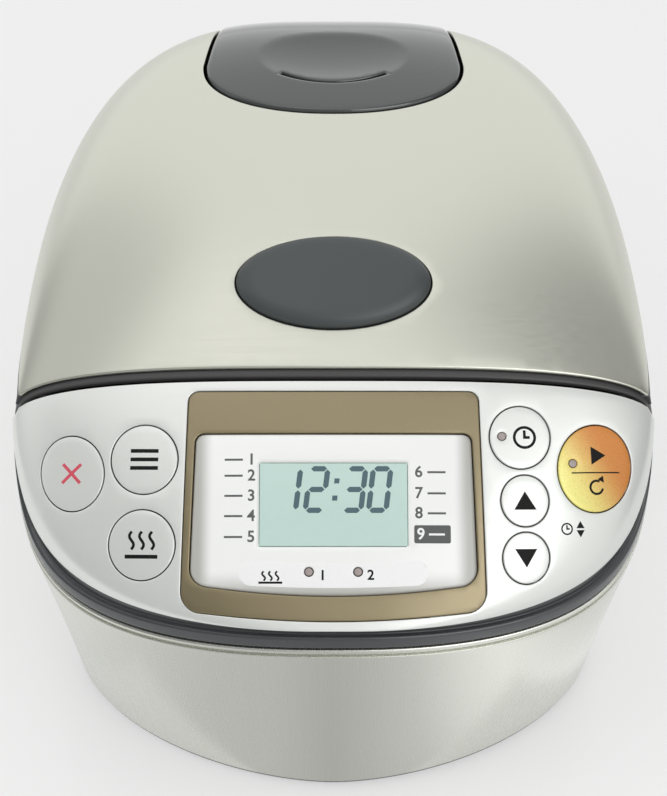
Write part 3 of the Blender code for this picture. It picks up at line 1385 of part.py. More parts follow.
def build():
    make_body()
    make_base()
    make_feet()
    make_power_board()
    make_inlet()
    make_upper_frame()
    make_hinge()
    make_hinge_cover()
    make_pot()
    make_liner()
    make_heater()
    make_sensor()
    make_panel()
    make_display()
    make_keys()
    lid = pivot("lid_hinge", Vector((0, HINGE_Y, HINGE_Z)))
    riders = [make_lid_cover(), make_lid_frame(), make_button()]
    riders += make_latch()
    riders += make_lid_inside()
    riders += make_vent()
    attach(riders, lid)


build()
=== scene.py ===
import json
import math

import bmesh
import bpy
import numpy as np
from mathutils import Matrix, Vector
from mathutils.geometry import delaunay_2d_cdt

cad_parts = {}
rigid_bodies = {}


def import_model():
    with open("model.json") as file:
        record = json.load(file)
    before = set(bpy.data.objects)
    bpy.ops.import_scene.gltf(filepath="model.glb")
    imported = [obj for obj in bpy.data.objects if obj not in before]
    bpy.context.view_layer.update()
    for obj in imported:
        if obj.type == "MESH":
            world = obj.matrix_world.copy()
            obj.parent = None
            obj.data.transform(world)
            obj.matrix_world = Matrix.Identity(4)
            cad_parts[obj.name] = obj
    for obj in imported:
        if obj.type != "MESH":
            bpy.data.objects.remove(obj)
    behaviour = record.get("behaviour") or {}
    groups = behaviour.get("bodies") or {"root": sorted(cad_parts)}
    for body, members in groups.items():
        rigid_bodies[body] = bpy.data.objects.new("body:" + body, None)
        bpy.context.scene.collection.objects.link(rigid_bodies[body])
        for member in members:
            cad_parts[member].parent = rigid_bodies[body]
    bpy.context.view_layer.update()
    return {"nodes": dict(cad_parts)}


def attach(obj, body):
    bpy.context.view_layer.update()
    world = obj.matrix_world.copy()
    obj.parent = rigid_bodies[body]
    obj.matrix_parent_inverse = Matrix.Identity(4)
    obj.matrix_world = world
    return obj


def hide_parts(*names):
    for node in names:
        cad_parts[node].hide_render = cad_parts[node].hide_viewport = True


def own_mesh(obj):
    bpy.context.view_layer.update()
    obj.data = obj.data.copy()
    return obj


for item in list(bpy.data.objects):
    bpy.data.objects.remove(item, do_unlink=True)
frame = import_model()
mm = 0.001
print("stage: frame loaded")

# the cooker's outer form: its plan outline, side profile and the rim that sweeps down round the front
form = {
    "Half width": 0.1285,
    "Split y": -0.0827,  # the lid's front edge, where the plan is widest
    "Front y": -0.1705,
    "Rear y": 0.1395,
    "Crown y": 0.0627,
    "Crown z": 0.2144,
    "Rim z": 0.1485,
    "Front rim z": 0.1113,
    "Front power": 2.3,
    "Rear power": 2.95,
    "Slope power": 1.77,
    "Shoulder power": 2.26,
    "Shoulder root": 2.2,
    "Arch power": 3.4,
    "Arch root": 2.15,
    "Sweep power": 3.0,
    "Sweep ease": 1.6,
}
(
    halfWidth, splitY, frontY, rearY, crownY, crownZ, rimZ, frontRimZ, frontPower, rearPower,
    slopePower, shoulderPower, shoulderRoot, archPower, archRoot, sweepPower, sweepEase,
) = form.values()
ringPower = 2.47  # the ring under the panel is a little squarer than the panel
potAxis = (0, 27 * mm, 0)  # the upright axes of the pot and of the steam vent
ventAxis = (0, 74 * mm, 0)


def rimHeight(y):  # the line on which the lid and the panel meet the body
    share = np.clip((y - frontY) / (splitY - frontY), 0, 1)
    return frontRimZ + (rimZ - frontRimZ) * (1 - (1 - share**sweepPower) ** sweepEase)


def widthAt(y, inset=0.0):  # half the width of the plan outline
    front = y < splitY
    share = np.where(front, (splitY - y) / (splitY - frontY - inset), (y - splitY) / (rearY - splitY - inset))
    power = np.where(front, frontPower, rearPower)
    return (halfWidth - inset) * np.maximum(1 - np.maximum(share, 0) ** power, 0) ** (1 / power)


def crownAt(y, inset=0.0):  # the height along the middle line
    slope = np.clip((crownY - y) / (crownY - frontY), 0, 1)
    shoulder = np.clip((y - crownY) / (rearY - crownY - inset), 0, 1)
    z = crownZ - (crownZ - frontRimZ) * slope**slopePower
    z = z + (crownZ - rimZ) * ((1 - shoulder**shoulderPower) ** (1 / shoulderRoot) - 1)
    return np.maximum(z - inset, rimHeight(y))


def skinHeight(x, y, inset=0.0):  # the height of the outer form, or of a skin inset below it
    share = np.clip(np.abs(x) / np.maximum(widthAt(y, inset), 1e-6), 0, 1)
    arch = (1 - share**archPower) ** (1 / archRoot)
    return rimHeight(y) + (crownAt(y, inset) - rimHeight(y)) * arch


def skinFrame(x, y):  # stands on the skin, Z along the outward normal, X level
    step = 0.4 * mm
    slopeX = float(skinHeight(x + step, y) - skinHeight(x - step, y)) / (2 * step)
    slopeY = float(skinHeight(x, y + step) - skinHeight(x, y - step)) / (2 * step)
    z = Vector((-slopeX, -slopeY, 1.0)).normalized()
    across = Vector((0, 1, 0)).cross(z).normalized()
    turn = Matrix((across, z.cross(across), z)).transposed().to_4x4()
    return Matrix.Translation((x, y, float(skinHeight(x, y)))) @ turn


def ontoSkin(place, flat, inset=0.0):  # slides points along the frame's Z until they meet the skin
    turn, start = np.array(place.to_3x3()), np.array(place.translation)
    flat = np.asarray(flat, float)
    base = start + flat[:, :1] * turn[:, 0] + flat[:, 1:2] * turn[:, 1]
    reach = np.zeros(len(flat))
    for _ in range(24):  # settles well before the last round
        point = base + reach[:, None] * turn[:, 2]
        reach += (skinHeight(point[:, 0], point[:, 1], inset) - point[:, 2]) * turn[2, 2]
    return (base + reach[:, None] * turn[:, 2])[:, :2]


def hexColour(code):  # an sRGB code as linear light
    parts = [int(code[at : at + 2], 16) / 255 for at in (1, 3, 5)]
    linear = [p / 12.92 if p <= 0.04045 else ((p + 0.055) / 1.055) ** 2.4 for p in parts]
    return (*linear, 1.0)


def addNode(tree, kind, inputs=None, **settings):  # an input is a value, or a socket to link from
    node = tree.nodes.new(kind)
    for key, value in settings.items():
        setattr(node, key, value)
    for key, value in (inputs or {}).items():
        if isinstance(value, bpy.types.NodeSocket):
            tree.links.new(value, node.inputs[key])
        else:
            node.inputs[key].default_value = value
    return node


def newMaterial(name, colour, roughness, metallic=0.0, **sockets):
    made = bpy.data.materials.new(name)
    made.use_nodes = True
    shader = made.node_tree.nodes["Principled BSDF"]
    values = {"Base Color": hexColour(colour), "Roughness": roughness, "Metallic": metallic}
    for key, value in {**values, **sockets}.items():
        shader.inputs[key].default_value = value
    return made


def tinted(made, share, first, last):  # colours a surface between two codes as the share goes from 0 to 1
    tree = made.node_tree
    colours = {0: share, 6: hexColour(first), 7: hexColour(last)}
    mix = addNode(tree, "ShaderNodeMix", colours, data_type="RGBA")
    tree.links.new(mix.outputs[2], tree.nodes["Principled BSDF"].inputs["Base Color"])


def grain(made, size, low, high, stretch=(1, 1, 1), bump=0.0, tint=None, axis=None, radius=120 * mm):
    # noise with features of the given size, stretched along an axis; it varies the roughness from low
    # to high, and where asked the colour between two codes and the surface by the height of a bump;
    # with an axis point given, the pattern is wrapped round the upright line through it, at the radius
    tree = made.node_tree
    shader = tree.nodes["Principled BSDF"]
    place = addNode(tree, "ShaderNodeTexCoord").outputs["Object"]
    if axis:
        offset = addNode(tree, "ShaderNodeVectorMath", {0: place, 1: axis}, operation="SUBTRACT")
        level = {0: offset.outputs[0], 1: (1, 1, 0)}
        flat = addNode(tree, "ShaderNodeVectorMath", level, operation="MULTIPLY")
        unit = addNode(tree, "ShaderNodeVectorMath", {0: flat.outputs[0]}, operation="NORMALIZE")
        around = {0: unit.outputs[0], 1: (radius, radius, 0)}
        wrap = addNode(tree, "ShaderNodeVectorMath", around, operation="MULTIPLY")
        height = addNode(tree, "ShaderNodeVectorMath", {0: place, 1: (0, 0, 1)}, operation="MULTIPLY")
        both = {0: wrap.outputs[0], 1: height.outputs[0]}
        place = addNode(tree, "ShaderNodeVectorMath", both, operation="ADD").outputs[0]
    mapping = addNode(tree, "ShaderNodeMapping", {"Vector": place, "Scale": stretch})
    pattern = {"Vector": mapping.outputs[0], "Scale": 1 / size, "Detail": 3.0}
    noise = addNode(tree, "ShaderNodeTexNoise", pattern)
    # the noise itself keeps between about 0.3 and 0.7
    span = {"Value": noise.outputs[0], "From Min": 0.3, "From Max": 0.7, "To Min": low, "To Max": high}
    spread = addNode(tree, "ShaderNodeMapRange", span)
    tree.links.new(spread.outputs[0], shader.inputs["Roughness"])
    if tint:
        tinted(made, noise.outputs[0], *tint)
    if bump:
        ripple = {"Height": noise.outputs[0], "Strength": 1.0, "Distance": bump}
        relief = addNode(tree, "ShaderNodeBump", ripple)
        tree.links.new(relief.outputs[0], shader.inputs["Normal"])


def coat(weight, roughness):  # the sockets of a clear coat
    return {"Coat Weight": weight, "Coat Roughness": roughness}


# Stainless sheet, brushed across: soft, slightly warm reflections drawn out sideways.
# The real brush lines are about 0.1 mm apart; they are drawn 0.8 mm apart so that they show.
lidSteel = newMaterial("stainlessBrushedLid", "#D7D8CC", 0.3, 1.0)
grain(lidSteel, 0.8 * mm, 0.28, 0.34, (0.01, 1, 1), bump=0.0012 * mm)
# The same sheet wrapped round the body, brushed upright: reflections stand as soft upright bands.
bodySteel = newMaterial("stainlessBrushedBody", "#DCDDD5", 0.28, 1.0)
bodyAxis = (0, -20 * mm, 0)
grain(bodySteel, 1.0 * mm, 0.265, 0.285, (1, 1, 0.003), tint=("#DADBD3", "#DEDFD7"), axis=bodyAxis)
# ABS moulded and painted silver white: a bright satin face with very fine mica.
pearl = newMaterial("paintedAbsSilverWhite", "#E9EBE7", 0.3, 0.42, **coat(0.35, 0.14))
grain(pearl, 0.8 * mm, 0.295, 0.315, tint=("#E8EAE6", "#EAECE8"))
# Metallic film under clear lacquer: bronze with a soft sheen.
bronze = newMaterial("printedFilmBronze", "#968A6C", 0.35, 0.8, **coat(0.3, 0.1))
grain(bronze, 0.35 * mm, 0.3, 0.38, tint=("#908468", "#9C9072"))
# Acrylic window, back printed white: flat, clean and glossy, with the faint swell of a moulding.
whiteAcrylic = newMaterial("acrylicWhite", "#FAFBF9", 0.14, IOR=1.49)
grain(whiteAcrylic, 3 * mm, 0.12, 0.16)
# White print on the acrylic: a plain satin face.
pillPrint = newMaterial("inkWhite", "#FBFBFB", 0.25)
grain(pillPrint, 0.3 * mm, 0.22, 0.3)
# Moulded ABS in greys: a fine texture that only breaks the highlight.
ringGrey = newMaterial("mouldedAbsDarkGrey", "#3D4042", 0.3, **coat(0.6, 0.08))
grain(ringGrey, 0.4 * mm, 0.26, 0.36, bump=0.002 * mm)
lipGrey = newMaterial("mouldedAbsCharcoal", "#474646", 0.35)
grain(lipGrey, 0.4 * mm, 0.32, 0.42, bump=0.002 * mm)
buttonGrey = newMaterial("mouldedAbsSlateGrey", "#454A4A", 0.35)
grain(buttonGrey, 0.3 * mm, 0.3, 0.38, bump=0.002 * mm)
# Polished ABS of the steam vent: a dark grey that mirrors what is round it.
ventGrey = newMaterial("polishedAbsGrey", "#3D4141", 0.2, **coat(1.0, 0.03))
grain(ventGrey, 0.5 * mm, 0.16, 0.22)
# Moulded polypropylene of the base: paler and duller than the ABS.
baseGrey = newMaterial("mouldedPolypropyleneGrey", "#8E908F", 0.45)
grain(baseGrey, 0.5 * mm, 0.4, 0.52, bump=0.004 * mm)
# Liquid crystal cell: pale teal polariser behind glass, with dark slate segments.
lcdGlass = newMaterial("lcdGlassTeal", "#C9E3DB", 0.08, IOR=1.52)
grain(lcdGlass, 4 * mm, 0.07, 0.1, tint=("#C7E1D9", "#CBE5DD"))
lcdInk = newMaterial("lcdSegmentSlate", "#4E6B72", 0.2)
grain(lcdInk, 0.3 * mm, 0.18, 0.24)
# Painted ABS of the start key: bright orange under a clear gloss.
orangeKey = newMaterial("paintedAbsOrange", "#F0A050", 0.28, 0.1, **coat(0.4, 0.08))
grain(orangeKey, 0.5 * mm, 0.25, 0.32)
# Screen printed inks: thin and matt.
inkBlack = newMaterial("inkBlack", "#121211", 0.5, **{"Specular IOR Level": 0.2})
grain(inkBlack, 0.2 * mm, 0.45, 0.58)
inkGrey = newMaterial("inkGrey", "#5A5D5C", 0.5)
grain(inkGrey, 0.2 * mm, 0.45, 0.58)
inkRed = newMaterial("inkRed", "#D2495B", 0.45)
grain(inkRed, 0.2 * mm, 0.4, 0.52)
# Smoked polycarbonate lamp lenses: clean faces with a fine frosted core.
lampLens = newMaterial("polycarbonateLensSmoke", "#A89C98", 0.25, IOR=1.58)
grain(lampLens, 0.3 * mm, 0.2, 0.32, tint=("#A39793", "#ADA19D"))
# Spun aluminium, a soft even sheen, and cast aluminium, dull with the grain of its mould.
aluminium = newMaterial("spunAluminium", "#C9C9C7", 0.35, 1.0)
grain(aluminium, 0.6 * mm, 0.3, 0.4)
castAluminium = newMaterial("castAluminium", "#A9A9A6", 0.5, 1.0)
grain(castAluminium, 0.8 * mm, 0.45, 0.6, bump=0.02 * mm)
# Fluoropolymer coating over the pot: near black, with fine light flecks.
potCoating = newMaterial("fluoropolymerCoating", "#3B3C3E", 0.4, 0.2)
grain(potCoating, 0.5 * mm, 0.36, 0.46, bump=0.003 * mm, tint=("#2F3032", "#4C4D50"))
# Pressed silicone and rubber: matt skins with a fine mould bloom.
silicone = newMaterial("siliconeGrey", "#8C8E8E", 0.6)
grain(silicone, 0.6 * mm, 0.52, 0.7, bump=0.004 * mm, tint=("#888A8A", "#909292"))
rubber = newMaterial("rubberDark", "#3A3A3A", 0.75)
grain(rubber, 0.5 * mm, 0.68, 0.84, bump=0.006 * mm, tint=("#363636", "#3F3F3F"))
# Drawn spring wire: bright, with faint draw marks.
springSteel = newMaterial("springSteelWire", "#B9B9BA", 0.28, 1.0)
grain(springSteel, 0.3 * mm, 0.22, 0.34)
# Stacked silicon steel sheets: fine lines from sheet to sheet.
laminations = newMaterial("siliconSteelLaminations", "#7D7F82", 0.45, 1.0)
grain(laminations, 0.5 * mm, 0.4, 0.55, (0.02, 1, 0.02))
# Glass epoxy laminate: green with the faint weave of the cloth under the mask.
laminate = newMaterial("epoxyLaminateGreen", "#2F6B3F", 0.4)
grain(laminate, 0.7 * mm, 0.34, 0.46, tint=("#2B663B", "#347144"))
# Moulded black nylon: a plain satin skin.
nylon = newMaterial("mouldedNylonBlack", "#242424", 0.45)
grain(nylon, 0.4 * mm, 0.42, 0.52, bump=0.003 * mm)
# Rolled steel band of the side heater, dulled by heat.
heaterSteel = newMaterial("heaterBandSteel", "#8F8B83", 0.4, 1.0)
grain(heaterSteel, 0.8 * mm, 0.34, 0.5, (1, 1, 0.1), tint=("#87837B", "#97938B"))

# Painted shade: the window's white turns silver grey along its lower edge and towards both sides, in place of
# the shade on its rounded edges.
windowPaintedShade = {"sides": (53 * mm, 46.5 * mm), "edge": (-159.5 * mm, -150.5 * mm), "ease": "SMOOTHSTEP"}
tree = whiteAcrylic.node_tree
spot = addNode(tree, "ShaderNodeSeparateXYZ", {0: addNode(tree, "ShaderNodeTexCoord").outputs["Object"]})
aside = addNode(tree, "ShaderNodeMath", {0: spot.outputs[0]}, operation="ABSOLUTE")
sides = {0: aside.outputs[0], 1: windowPaintedShade["sides"][0], 2: windowPaintedShade["sides"][1]}
across = addNode(tree, "ShaderNodeMapRange", sides, interpolation_type=windowPaintedShade["ease"])
edge = {0: spot.outputs[1], 1: windowPaintedShade["edge"][0], 2: windowPaintedShade["edge"][1]}
along = addNode(tree, "ShaderNodeMapRange", edge, interpolation_type=windowPaintedShade["ease"])
share = addNode(tree, "ShaderNodeMath", {0: across.outputs[0], 1: along.outputs[0]}, operation="MULTIPLY")
# the silver grey is painted shade, the near white is the window's own colour
tinted(whiteAcrylic, share.outputs[0], "#BDBDB7", "#FCFDFB")
# The orange runs into yellow towards the lower left of the start key, as a printed fade.
keyFade = {"lean": 0.9, "from": -19 * mm, "to": 12 * mm, "ease": "SMOOTHSTEP"}
tree = orangeKey.node_tree
spot = addNode(tree, "ShaderNodeSeparateXYZ", {0: addNode(tree, "ShaderNodeTexCoord").outputs["Object"]})
slant = {0: spot.outputs[1], 1: keyFade["lean"], 2: spot.outputs[0]}
away = addNode(tree, "ShaderNodeMath", slant, operation="MULTIPLY_ADD")
span = {0: away.outputs[0], 1: keyFade["from"], 2: keyFade["to"]}
share = addNode(tree, "ShaderNodeMapRange", span, interpolation_type=keyFade["ease"])
tinted(orangeKey, share.outputs[0], "#F8F08C", "#D98A3C")
print("stage: materials made")


def millimetres(points):
    return [(a * mm, b * mm) for a, b in points]


hardAngle = 32  # degrees between two faces from which their edge counts as hard


def smoothed(mesh, angle=hardAngle):  # soft shading that leaves hard edges
    mesh.shade_smooth()
    mesh.set_sharp_from_angle(angle=math.radians(angle))


def turnedOut(mesh):  # every face points out of the piece
    work = bmesh.new()
    work.from_mesh(mesh)
    bmesh.ops.recalc_face_normals(work, faces=work.faces)
    work.to_mesh(mesh)
    work.free()


def addObject(name, mesh, mat=None, angle=hardAngle):
    obj = bpy.data.objects.new(name, mesh)
    bpy.context.scene.collection.objects.link(obj)
    if mat:
        mesh.materials.clear()
        mesh.materials.append(mat)
    smoothed(mesh, angle)
    return obj


def meshOf(name, points, faces, outward=True):
    mesh = bpy.data.meshes.new(name)
    mesh.from_pydata([tuple(map(float, p)) for p in points], [], faces)
    if outward:
        turnedOut(mesh)
    return mesh


def baked(obj):  # the evaluated object as a plain mesh in its place
    bpy.context.view_layer.update()
    graph = bpy.context.evaluated_depsgraph_get()
    mesh = bpy.data.meshes.new_from_object(obj.evaluated_get(graph))
    name = obj.name
    bpy.data.objects.remove(obj, do_unlink=True)
    mesh.name = name
    made = bpy.data.objects.new(name, mesh)
    bpy.context.scene.collection.objects.link(made)
    return made


def fit(obj, body, slot, *nodes):  # the body that it rides on, its slot, which is not used, and the CAD nodes that it replaces
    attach(obj, body)
    if nodes:
        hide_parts(*nodes)
    return obj


def rounded(points, radius, steps=3, closed=True):  # a profile with its corners eased
    points = [np.array(p, float) for p in points]
    most = 0.42  # of a side's length, so that two eased corners stay apart
    made = []
    for index, corner in enumerate(points):
        if not closed and index in (0, len(points) - 1) or abs(corner[0]) < 1e-9:
            made.append(corner)  # the ends of an open profile and points on the axis stay
            continue
        before, after = points[index - 1], points[(index + 1) % len(points)]
        back, on = before - corner, after - corner
        reach = min(radius, most * np.linalg.norm(back), most * np.linalg.norm(on))
        start = corner + back / np.linalg.norm(back) * reach
        end = corner + on / np.linalg.norm(on) * reach
        for step in range(steps + 1):
            t = step / steps
            made.append((1 - t) ** 2 * start + 2 * t * (1 - t) * corner + t * t * end)
    return made


def turned(name, mat, profile, centre, ease=0.5 * mm, steps=144):  # a profile turned round an upright axis
    points, rings = [], []
    angles = 2 * np.pi * np.arange(steps) / steps
    for radius, z in rounded(profile, ease):
        if radius < 1e-9:
            rings.append([len(points)] * steps)
            points.append((centre[0], centre[1], z + centre[2]))
            continue
        rings.append(list(range(len(points), len(points) + steps)))
        for angle in angles:
            x = centre[0] + radius * math.cos(angle)
            y = centre[1] + radius * math.sin(angle)
            points.append((x, y, z + centre[2]))
    faces = []
    for low, high in zip(rings, rings[1:] + rings[:1]):
        if low[0] == low[1] and high[0] == high[1]:
            continue
        for step in range(steps):
            after = (step + 1) % steps
            corners = [low[step], low[after], high[after], high[step]]
            faces.append(list(dict.fromkeys(corners)))
    return addObject(name, meshOf(name, points, faces), mat)


def lofted(name, mat, loops, wrap=False, angle=hardAngle):  # a skin over loops, capped unless it wraps
    count = len(loops[0])
    points = np.concatenate([np.asarray(loop, float) for loop in loops])
    pairs = [(level, level + 1) for level in range(len(loops) - 1)]
    if wrap:
        pairs.append((len(loops) - 1, 0))
    faces = []
    for low, high in pairs:
        for step in range(count):
            after = (step + 1) % count
            faces.append([low * count + step, low * count + after, high * count + after, high * count + step])
    if not wrap:
        faces += [list(range(count)), list(range((len(loops) - 1) * count, len(loops) * count))]
    return addObject(name, meshOf(name, points, faces), mat, angle)


def extruded(name, mat, outline, low, high, place=None):  # an outline drawn out along the frame's Z
    count = len(outline)
    points = [(x, y, z) for z in (low, high) for x, y in outline]
    faces = [[i, (i + 1) % count, count + (i + 1) % count, count + i] for i in range(count)]
    faces += [list(range(count)), list(range(count, 2 * count))]
    mesh = meshOf(name, points, faces)
    mesh.transform(place or Matrix())
    return addObject(name, mesh, mat)


def eased(obj, width):  # rounds the hard edges
    mod = obj.modifiers.new("ease", "BEVEL")
    mod.width = width
    mod.segments = 2
    mod.limit_method = "ANGLE"
    mod.angle_limit = math.radians(hardAngle)
    mod.harden_normals = True
    return baked(obj)


def carved(obj, *tools):  # cuts the tools out of a piece and removes them
    for tool in tools:
        mod = obj.modifiers.new("carve", "BOOLEAN")
        mod.operation = "DIFFERENCE"
        mod.object = tool
        mod.solver = "EXACT"
    made = baked(obj)
    for tool in tools:
        bpy.data.objects.remove(tool, do_unlink=True)
    smoothed(made.data)
    return made


def cutter(name, low, high):  # a plain block between two corners in mm, to cut with
    outline = [(low[0], low[1]), (high[0], low[1]), (high[0], high[1]), (low[0], high[1])]
    return extruded(name, None, millimetres(outline), low[2] * mm, high[2] * mm)


def bar(name, radius, low, high, place=None, mat=None, steps=64):  # a round bar along the frame's Z
    return extruded(name, mat, oval(radius, radius, steps), low, high, place)


def oval(halfX, halfY, steps=96):
    angles = 2 * np.pi * np.arange(steps) / steps
    return np.stack([halfX * np.cos(angles), halfY * np.sin(angles)], 1)


def arc(centre, radius, start, end, steps):
    angles = np.radians(np.linspace(start, end, steps + 1))
    return [(centre[0] + radius * math.cos(a), centre[1] + radius * math.sin(a)) for a in angles]


def reworked(node, mat, body, slot, width):  # a copy of a CAD node with its edges eased
    mesh = frame["nodes"][node].data.copy()
    work = bmesh.new()
    work.from_mesh(mesh)
    bmesh.ops.remove_doubles(work, verts=work.verts, dist=0.002 * mm)
    bmesh.ops.dissolve_limit(work, angle_limit=math.radians(0.6), verts=work.verts, edges=work.edges)
    bmesh.ops.recalc_face_normals(work, faces=work.faces)
    work.to_mesh(mesh)
    work.free()
    for layer in [a.name for a in mesh.attributes if a.name.startswith("custom_normal")]:
        mesh.attributes.remove(mesh.attributes[layer])
    return fit(eased(addObject(f"{node}Piece", mesh, mat), width), body, slot, node)


def bent(value, power):  # a sine or cosine raised to a power with its sign kept, which squares an oval off
    return np.sign(value) * np.abs(value) ** power


def insideLoop(points, loop):  # which of the points lie inside a closed outline
    after = np.roll(loop, -1, 0)
    x, y = points[:, :1], points[:, 1:2]
    spans = (loop[:, 1] > y) != (after[:, 1] > y)
    rise = np.where(after[:, 1] == loop[:, 1], 1e-12, after[:, 1] - loop[:, 1])
    cross = x < (after[:, 0] - loop[:, 0]) * (y - loop[:, 1]) / rise + loop[:, 0]
    return (spans & cross).sum(1) % 2 == 1


def fillPattern(loops, spacing, marks=None):
    # points inside the first loop and outside the others, with triangles between them;
    # marks are further points that have to be among them
    outer = loops[0]
    fixed = loops + ([marks] if marks is not None else [])
    low, high = outer.min(0), outer.max(0)
    counts = np.maximum(((high - low) / spacing).astype(int), 1)
    gridX = low[0] + (np.arange(counts[0]) + 0.5) * (high[0] - low[0]) / counts[0]
    gridY = low[1] + (np.arange(counts[1]) + 0.5) * (high[1] - low[1]) / counts[1]
    grid = np.stack(np.meshgrid(gridX, gridY), -1).reshape(-1, 2)
    keep = insideLoop(grid, outer)
    for hole in loops[1:]:
        keep &= ~insideLoop(grid, hole)
    grid = grid[keep]
    for loop in fixed:
        gap = np.min(np.linalg.norm(grid[:, None, :] - loop[None], axis=2), axis=1)
        grid = grid[gap > 0.55 * spacing]  # leaves no slivers along the outlines
    points = np.concatenate(fixed + [grid])
    edges, start = [], 0
    for loop in loops:
        edges += [(start + i, start + (i + 1) % len(loop)) for i in range(len(loop))]
        start += len(loop)
    flat = [Vector(point) for point in points * 1000]  # in mm, which suits the triangulation's own tolerance
    _, _, faces, origin, _, _ = delaunay_2d_cdt(flat, edges, [], 0, 1e-6, True)
    back = [ids[0] for ids in origin]
    faces = np.array([[back[i] for i in face] for face in faces])
    middles = points[faces].mean(1)
    keep = insideLoop(middles, outer)
    for hole in loops[1:]:
        keep &= ~insideLoop(middles, hole)
    return points, faces[keep].tolist()


pressSteps = [
    # value, operation, first, second and third input
    ("front", "LESS_THAN", "y", "Split y"),
    ("run", "SUBTRACT", "y", "Split y"),
    ("distance", "ABSOLUTE", "run"),
    ("frontDepth", "SUBTRACT", "Split y", "Front y"),
    ("rearDepth", "SUBTRACT", "Rear y", "Split y"),
    ("depthGap", "SUBTRACT", "frontDepth", "rearDepth"),
    ("depth", "MULTIPLY_ADD", "front", "depthGap", "rearDepth"),
    ("insetDepth", "SUBTRACT", "depth", "inset"),
    ("share", "DIVIDE", "distance", "insetDepth"),
    ("powerGap", "SUBTRACT", "Front power", "Rear power"),
    ("power", "MULTIPLY_ADD", "front", "powerGap", "Rear power"),
    ("sharePower", "POWER", "share", "power"),
    ("left", "SUBTRACT", 1.0, "sharePower"),
    ("leftOver", "MAXIMUM", "left", 0.0),
    ("root", "DIVIDE", 1.0, "power"),
    ("narrowing", "POWER", "leftOver", "root"),
    ("insetHalf", "SUBTRACT", "Half width", "inset"),
    ("width", "MULTIPLY", "narrowing", "insetHalf"),
    ("fromFront", "SUBTRACT", "y", "Front y"),
    ("sweepRun", "DIVIDE", "fromFront", "frontDepth"),
    ("sweepLow", "MAXIMUM", "sweepRun", 0.0),
    ("sweepShare", "MINIMUM", "sweepLow", 1.0),
    ("sweepRise", "POWER", "sweepShare", "Sweep power"),
    ("sweepLeft", "SUBTRACT", 1.0, "sweepRise"),
    ("sweepEased", "POWER", "sweepLeft", "Sweep ease"),
    ("sweep", "SUBTRACT", 1.0, "sweepEased"),
    ("rimGap", "SUBTRACT", "Rim z", "Front rim z"),
    ("rim", "MULTIPLY_ADD", "sweep", "rimGap", "Front rim z"),
    ("toCrown", "SUBTRACT", "Crown y", "y"),
    ("slopeRun", "SUBTRACT", "Crown y", "Front y"),
    ("slopeRaw", "DIVIDE", "toCrown", "slopeRun"),
    ("slopeShare", "MAXIMUM", "slopeRaw", 0.0),
    ("slopeRise", "POWER", "slopeShare", "Slope power"),
    ("slopeGap", "SUBTRACT", "Front rim z", "Crown z"),
    ("slope", "MULTIPLY_ADD", "slopeRise", "slopeGap", "Crown z"),
    ("pastCrown", "MULTIPLY", "toCrown", -1.0),
    ("shoulderRun", "SUBTRACT", "Rear y", "Crown y"),
    ("shoulderInset", "SUBTRACT", "shoulderRun", "inset"),
    ("shoulderRaw", "DIVIDE", "pastCrown", "shoulderInset"),
    ("shoulderLow", "MAXIMUM", "shoulderRaw", 0.0),
    ("shoulderShare", "MINIMUM", "shoulderLow", 1.0),
    ("shoulderRise", "POWER", "shoulderShare", "Shoulder power"),
    ("shoulderLeft", "SUBTRACT", 1.0, "shoulderRise"),
    ("shoulderPowerOut", "DIVIDE", 1.0, "Shoulder root"),
    ("shoulderEased", "POWER", "shoulderLeft", "shoulderPowerOut"),
    ("shoulderDrop", "SUBTRACT", "shoulderEased", 1.0),
    ("crownGap", "SUBTRACT", "Crown z", "Rim z"),
    ("crownRaw", "MULTIPLY_ADD", "shoulderDrop", "crownGap", "slope"),
    ("crownInset", "SUBTRACT", "crownRaw", "inset"),
    ("crown", "MAXIMUM", "crownInset", "rim"),
    ("rise", "SUBTRACT", "crown", "rim"),
    ("side", "ABSOLUTE", "x"),
    ("sideRaw", "DIVIDE", "side", "width"),
    ("sideShare", "MINIMUM", "sideRaw", 1.0),
    ("sidePower", "POWER", "sideShare", "Arch power"),
    ("sideLeft", "SUBTRACT", 1.0, "sidePower"),
    ("archOut", "DIVIDE", 1.0, "Arch root"),
    ("arch", "POWER", "sideLeft", "archOut"),
    ("z", "MULTIPLY_ADD", "arch", "rise", "rim"),
]


def newTree(name, sizes):  # a Geometry Nodes tree with a named input for each size and for the material
    tree = bpy.data.node_groups.new(name, "GeometryNodeTree")
    tree.interface.new_socket("Geometry", in_out="INPUT", socket_type="NodeSocketGeometry")
    for key, value in sizes.items():
        socket = tree.interface.new_socket(key, in_out="INPUT", socket_type="NodeSocketFloat")
        socket.default_value = value
    tree.interface.new_socket("Material", in_out="INPUT", socket_type="NodeSocketMaterial")
    tree.interface.new_socket("Geometry", in_out="OUTPUT", socket_type="NodeSocketGeometry")
    return tree, addNode(tree, "NodeGroupInput")


def endTree(tree, given, geometry):
    real = addNode(tree, "GeometryNodeRealizeInstances", {"Geometry": geometry})
    finish = {"Geometry": real.outputs[0], "Material": given.outputs["Material"]}
    painted = addNode(tree, "GeometryNodeSetMaterial", finish)
    addNode(tree, "NodeGroupOutput", {"Geometry": painted.outputs[0]})
    return tree


def grown(obj, tree, mat, sizes):  # runs a tree on an object and keeps the plain mesh
    mod = obj.modifiers.new(tree.name, "NODES")
    mod.node_group = tree
    for item in tree.interface.items_tree:
        if item.in_out == "INPUT" and item.name in sizes:
            mod[item.identifier] = sizes[item.name]
        if item.in_out == "INPUT" and item.name == "Material":
            mod[item.identifier] = mat
    return baked(obj)


